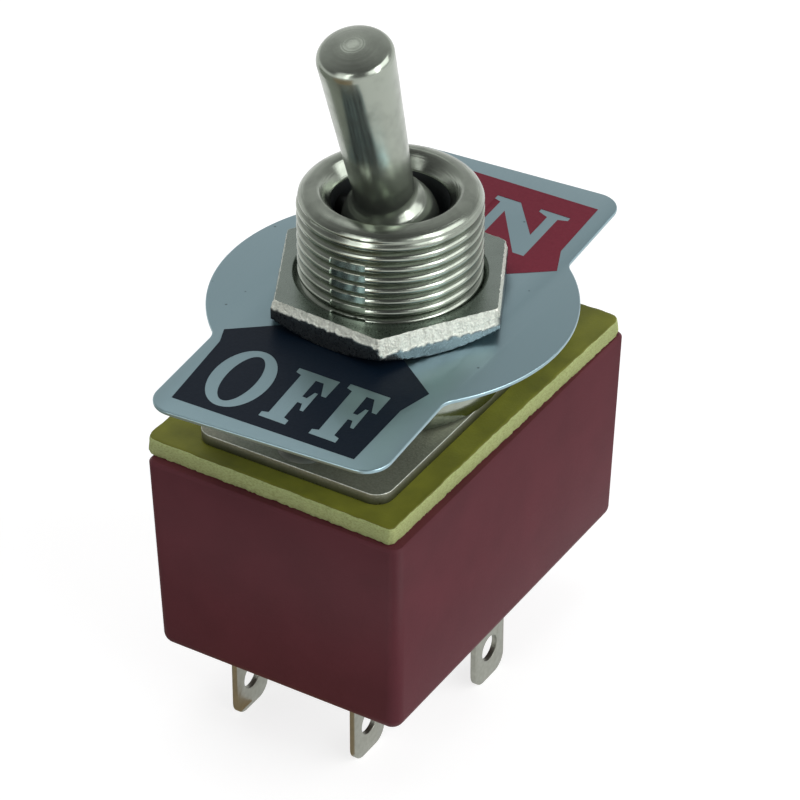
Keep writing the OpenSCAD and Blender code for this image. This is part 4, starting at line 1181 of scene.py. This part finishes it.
class SWITCH_OT_stage(bpy.types.Operator):
    """Set the pale floor, the soft lamps and the camera"""
    bl_idname = "switch.stage"
    bl_label = "Stage"

    def execute(self, context):
        scene = context.scene
        scene.view_settings.view_transform = "Standard"
        floor_z = CAD_BOX[0][2]
        self.sheet("floor", [(-2, -2), (2, -2), (2, 2), (-2, 2)], floor_z, self.paper())

        # Glowing cards on the floor that only shines show: painted reflections on the bright metal
        near, far = 12 * MM, 600 * MM
        for name, start, end, shade in (("left_painted_reflection", 150, 200, "#b39c7c"),
                                        ("back_painted_reflection", 95, 150, "#a0a49b")):
            outline = [(reach * math.cos(math.radians(angle)), reach * math.sin(math.radians(angle)))
                       for reach, angle in ((near, start), (far, start), (far, end), (near, end))]
            reflection_card = self.sheet(name, outline, floor_z + 0.3 * MM, self.reflection_glow(name + "_card", shade))
            reflection_card.visible_camera = reflection_card.visible_diffuse = reflection_card.visible_shadow = False
            reflection_card.visible_transmission = False

        scene.world = bpy.data.worlds.new("soft_room")
        scene.world.use_nodes = True
        self.room(scene.world.node_tree)
        # Name, place, width, height, power, and whether matt and bright surfaces show it. A window is
        # a narrow band that only the plated metal mirrors
        for name, place, width, height, power, on_matt, on_bright in (
                ("key_softbox", (0.04, -0.42, 0.27), 0.66, 0.30, 1.6, True, True),
                ("side_strip", (-0.46, -0.02, 0.20), 0.07, 0.36, 0.36, True, True),
                ("top_softbox", (0.05, 0.10, 0.52), 0.40, 0.40, 0.72, True, False),
                ("left_window", (-0.45, 0.09, 0.22), 0.24, 0.40, 0.6, False, True),
                ("back_window", (0.144, 0.213, 0.43), 0.20, 0.20, 0.085, False, True),
                ("right_window", (-0.025, -0.47, 0.24), 0.09, 0.40, 0.85, False, True)):
            lamp = self.lamp(name, place, width, height, power)
            lamp.visible_diffuse, lamp.visible_glossy = on_matt, on_bright
        self.camera(scene, given("switch_stage"))
        return {"FINISHED"}

    def camera(self, scene, sizes):
        """A long lens at the given turn and height, looking at the target."""
        made = bpy.data.cameras.new("camera")
        made.lens, made.sensor_width = sizes.lens, 36
        made.clip_start = 0.01
        camera = bpy.data.objects.new("camera", made)
        scene.collection.objects.link(camera)
        turn, rise = sizes.azimuth, sizes.elevation
        back = Vector((math.sin(turn) * math.cos(rise), -math.cos(turn) * math.cos(rise), math.sin(rise)))
        camera.location = Vector(sizes.target) + back * sizes.distance
        camera.rotation_euler = back.to_track_quat("Z", "Y").to_euler()
        scene.camera = camera

    def sheet(self, name, outline, height, made):
        """A flat sheet of the stage."""
        mesh = bpy.data.meshes.new(name)
        mesh.from_pydata([(x, y, height) for x, y in outline], [], [list(range(len(outline)))])
        mesh.materials.append(made)
        flat = bpy.data.objects.new(name, mesh)
        bpy.context.scene.collection.objects.link(flat)
        return flat

    def reflection_glow(self, name, shade):
        """A glowing card of one shade: a painted reflection."""
        made, tree = empty_material(name)
        glow = add(tree, "ShaderNodeEmission", {"Color": opaque(linear(shade)), "Strength": 1.0})
        add(tree, "ShaderNodeOutputMaterial", {"Surface": glow})
        return made

    def paper(self):
        """Pale paper: white where it is seen or mirrored, and it keeps the switch's soft shadow."""
        made, tree = empty_material("pale_paper")
        matt = add(tree, "ShaderNodeBsdfDiffuse", {"Color": (0.42, 0.42, 0.42, 1)})
        white = add(tree, "ShaderNodeEmission", {"Color": (1, 1, 1, 1), "Strength": 0.78})
        lit = add(tree, "ShaderNodeAddShader", {0: matt, 1: white})
        add(tree, "ShaderNodeOutputMaterial", {"Surface": add(tree, "ShaderNodeMixShader", {
            0: self.seen(tree), 1: matt, 2: lit})})
        return made

    def seen(self, tree):
        """1 for what is seen directly, mirrored or through something clear."""
        path = add(tree, "ShaderNodeLightPath").outputs
        mirrored = add(tree, "ShaderNodeMath", {
            0: path["Is Glossy Ray"], 1: path["Is Transmission Ray"]}, operation="MAXIMUM")
        return add(tree, "ShaderNodeMath", {0: path["Is Camera Ray"], 1: mirrored},
                   operation="MAXIMUM").outputs[0]

    def room(self, tree):
        """A soft room, bright behind the switch and dim before it, with a white backdrop low down."""
        tree.nodes.clear()
        way = add(tree, "ShaderNodeTexCoord").outputs["Generated"]
        facing = add(tree, "ShaderNodeVectorMath", {0: way, 1: (0.74, 0.46, 0.12)},
                     operation="DOT_PRODUCT").outputs["Value"]
        grade = add(tree, "ShaderNodeMapRange", {
            "Value": facing, "From Min": -0.2, "From Max": 0.8, "To Min": 0.08, "To Max": 0.60})
        soft = add(tree, "ShaderNodeBackground", {"Color": (1, 1, 1, 1), "Strength": grade})
        white = add(tree, "ShaderNodeBackground", {"Color": (1, 1, 1, 1), "Strength": 1.0})
        up = add(tree, "ShaderNodeSeparateXYZ", {0: way}).outputs["Z"]
        band = add(tree, "ShaderNodeMapRange", {"Value": up, "From Min": 0.30, "From Max": 0.12})
        share = add(tree, "ShaderNodeMath", {0: band, 1: self.seen(tree)}, operation="MULTIPLY")
        add(tree, "ShaderNodeOutputWorld", {"Surface": add(tree, "ShaderNodeMixShader", {
            0: share, 1: soft, 2: white})})

    def lamp(self, name, place, width, height, power):
        """A rectangular lamp that faces the switch."""
        light = bpy.data.lights.new(name, "AREA")
        light.shape = "RECTANGLE"
        light.size, light.size_y = width, height
        light.energy = power
        lamp = bpy.data.objects.new(name, light)
        lamp.location = place
        lamp.rotation_euler = (Vector(place) - Vector((0, 0, -0.01))).to_track_quat("Z", "Y").to_euler()
        bpy.context.scene.collection.objects.link(lamp)
        return lamp


OPERATORS = (SWITCH_OT_bush, SWITCH_OT_nuts, SWITCH_OT_washer, SWITCH_OT_label, SWITCH_OT_lever,
             SWITCH_OT_plates, SWITCH_OT_housing, SWITCH_OT_rivets, SWITCH_OT_terminals,
             SWITCH_OT_insides, SWITCH_OT_springs, SWITCH_OT_stage)


class SWITCH_PT_panel(bpy.types.Panel):
    """Lists the pieces of the switch"""
    bl_idname = "SWITCH_PT_panel"
    bl_label = "Toggle switch"
    bl_space_type = "VIEW_3D"
    bl_region_type = "UI"
    bl_category = "Switch"

    def draw(self, context):
        for group in GROUPS:
            sizes, box = given(group), self.layout.box()
            for name in sizes.bl_rna.properties.keys():
                if name not in ("rna_type", "name"):
                    box.prop(sizes, name)
        for operator in OPERATORS:
            self.layout.operator(operator.bl_idname)


def register():
    for group in GROUPS.values():
        bpy.utils.register_class(group)
    for name, group in GROUPS.items():
        setattr(bpy.types.Scene, name, PointerProperty(type=group))
    for cls in OPERATORS + (SWITCH_PT_panel,):
        bpy.utils.register_class(cls)


def unregister():
    for cls in reversed(OPERATORS + (SWITCH_PT_panel,)):
        bpy.utils.unregister_class(cls)
    for name in GROUPS:
        delattr(bpy.types.Scene, name)
    for group in reversed(list(GROUPS.values())):
        bpy.utils.unregister_class(group)


def main():
    register()
    for operator in OPERATORS:
        group, name = operator.bl_idname.split(".")
        getattr(getattr(bpy.ops, group), name)()


if __name__ == "__main__":
    main()
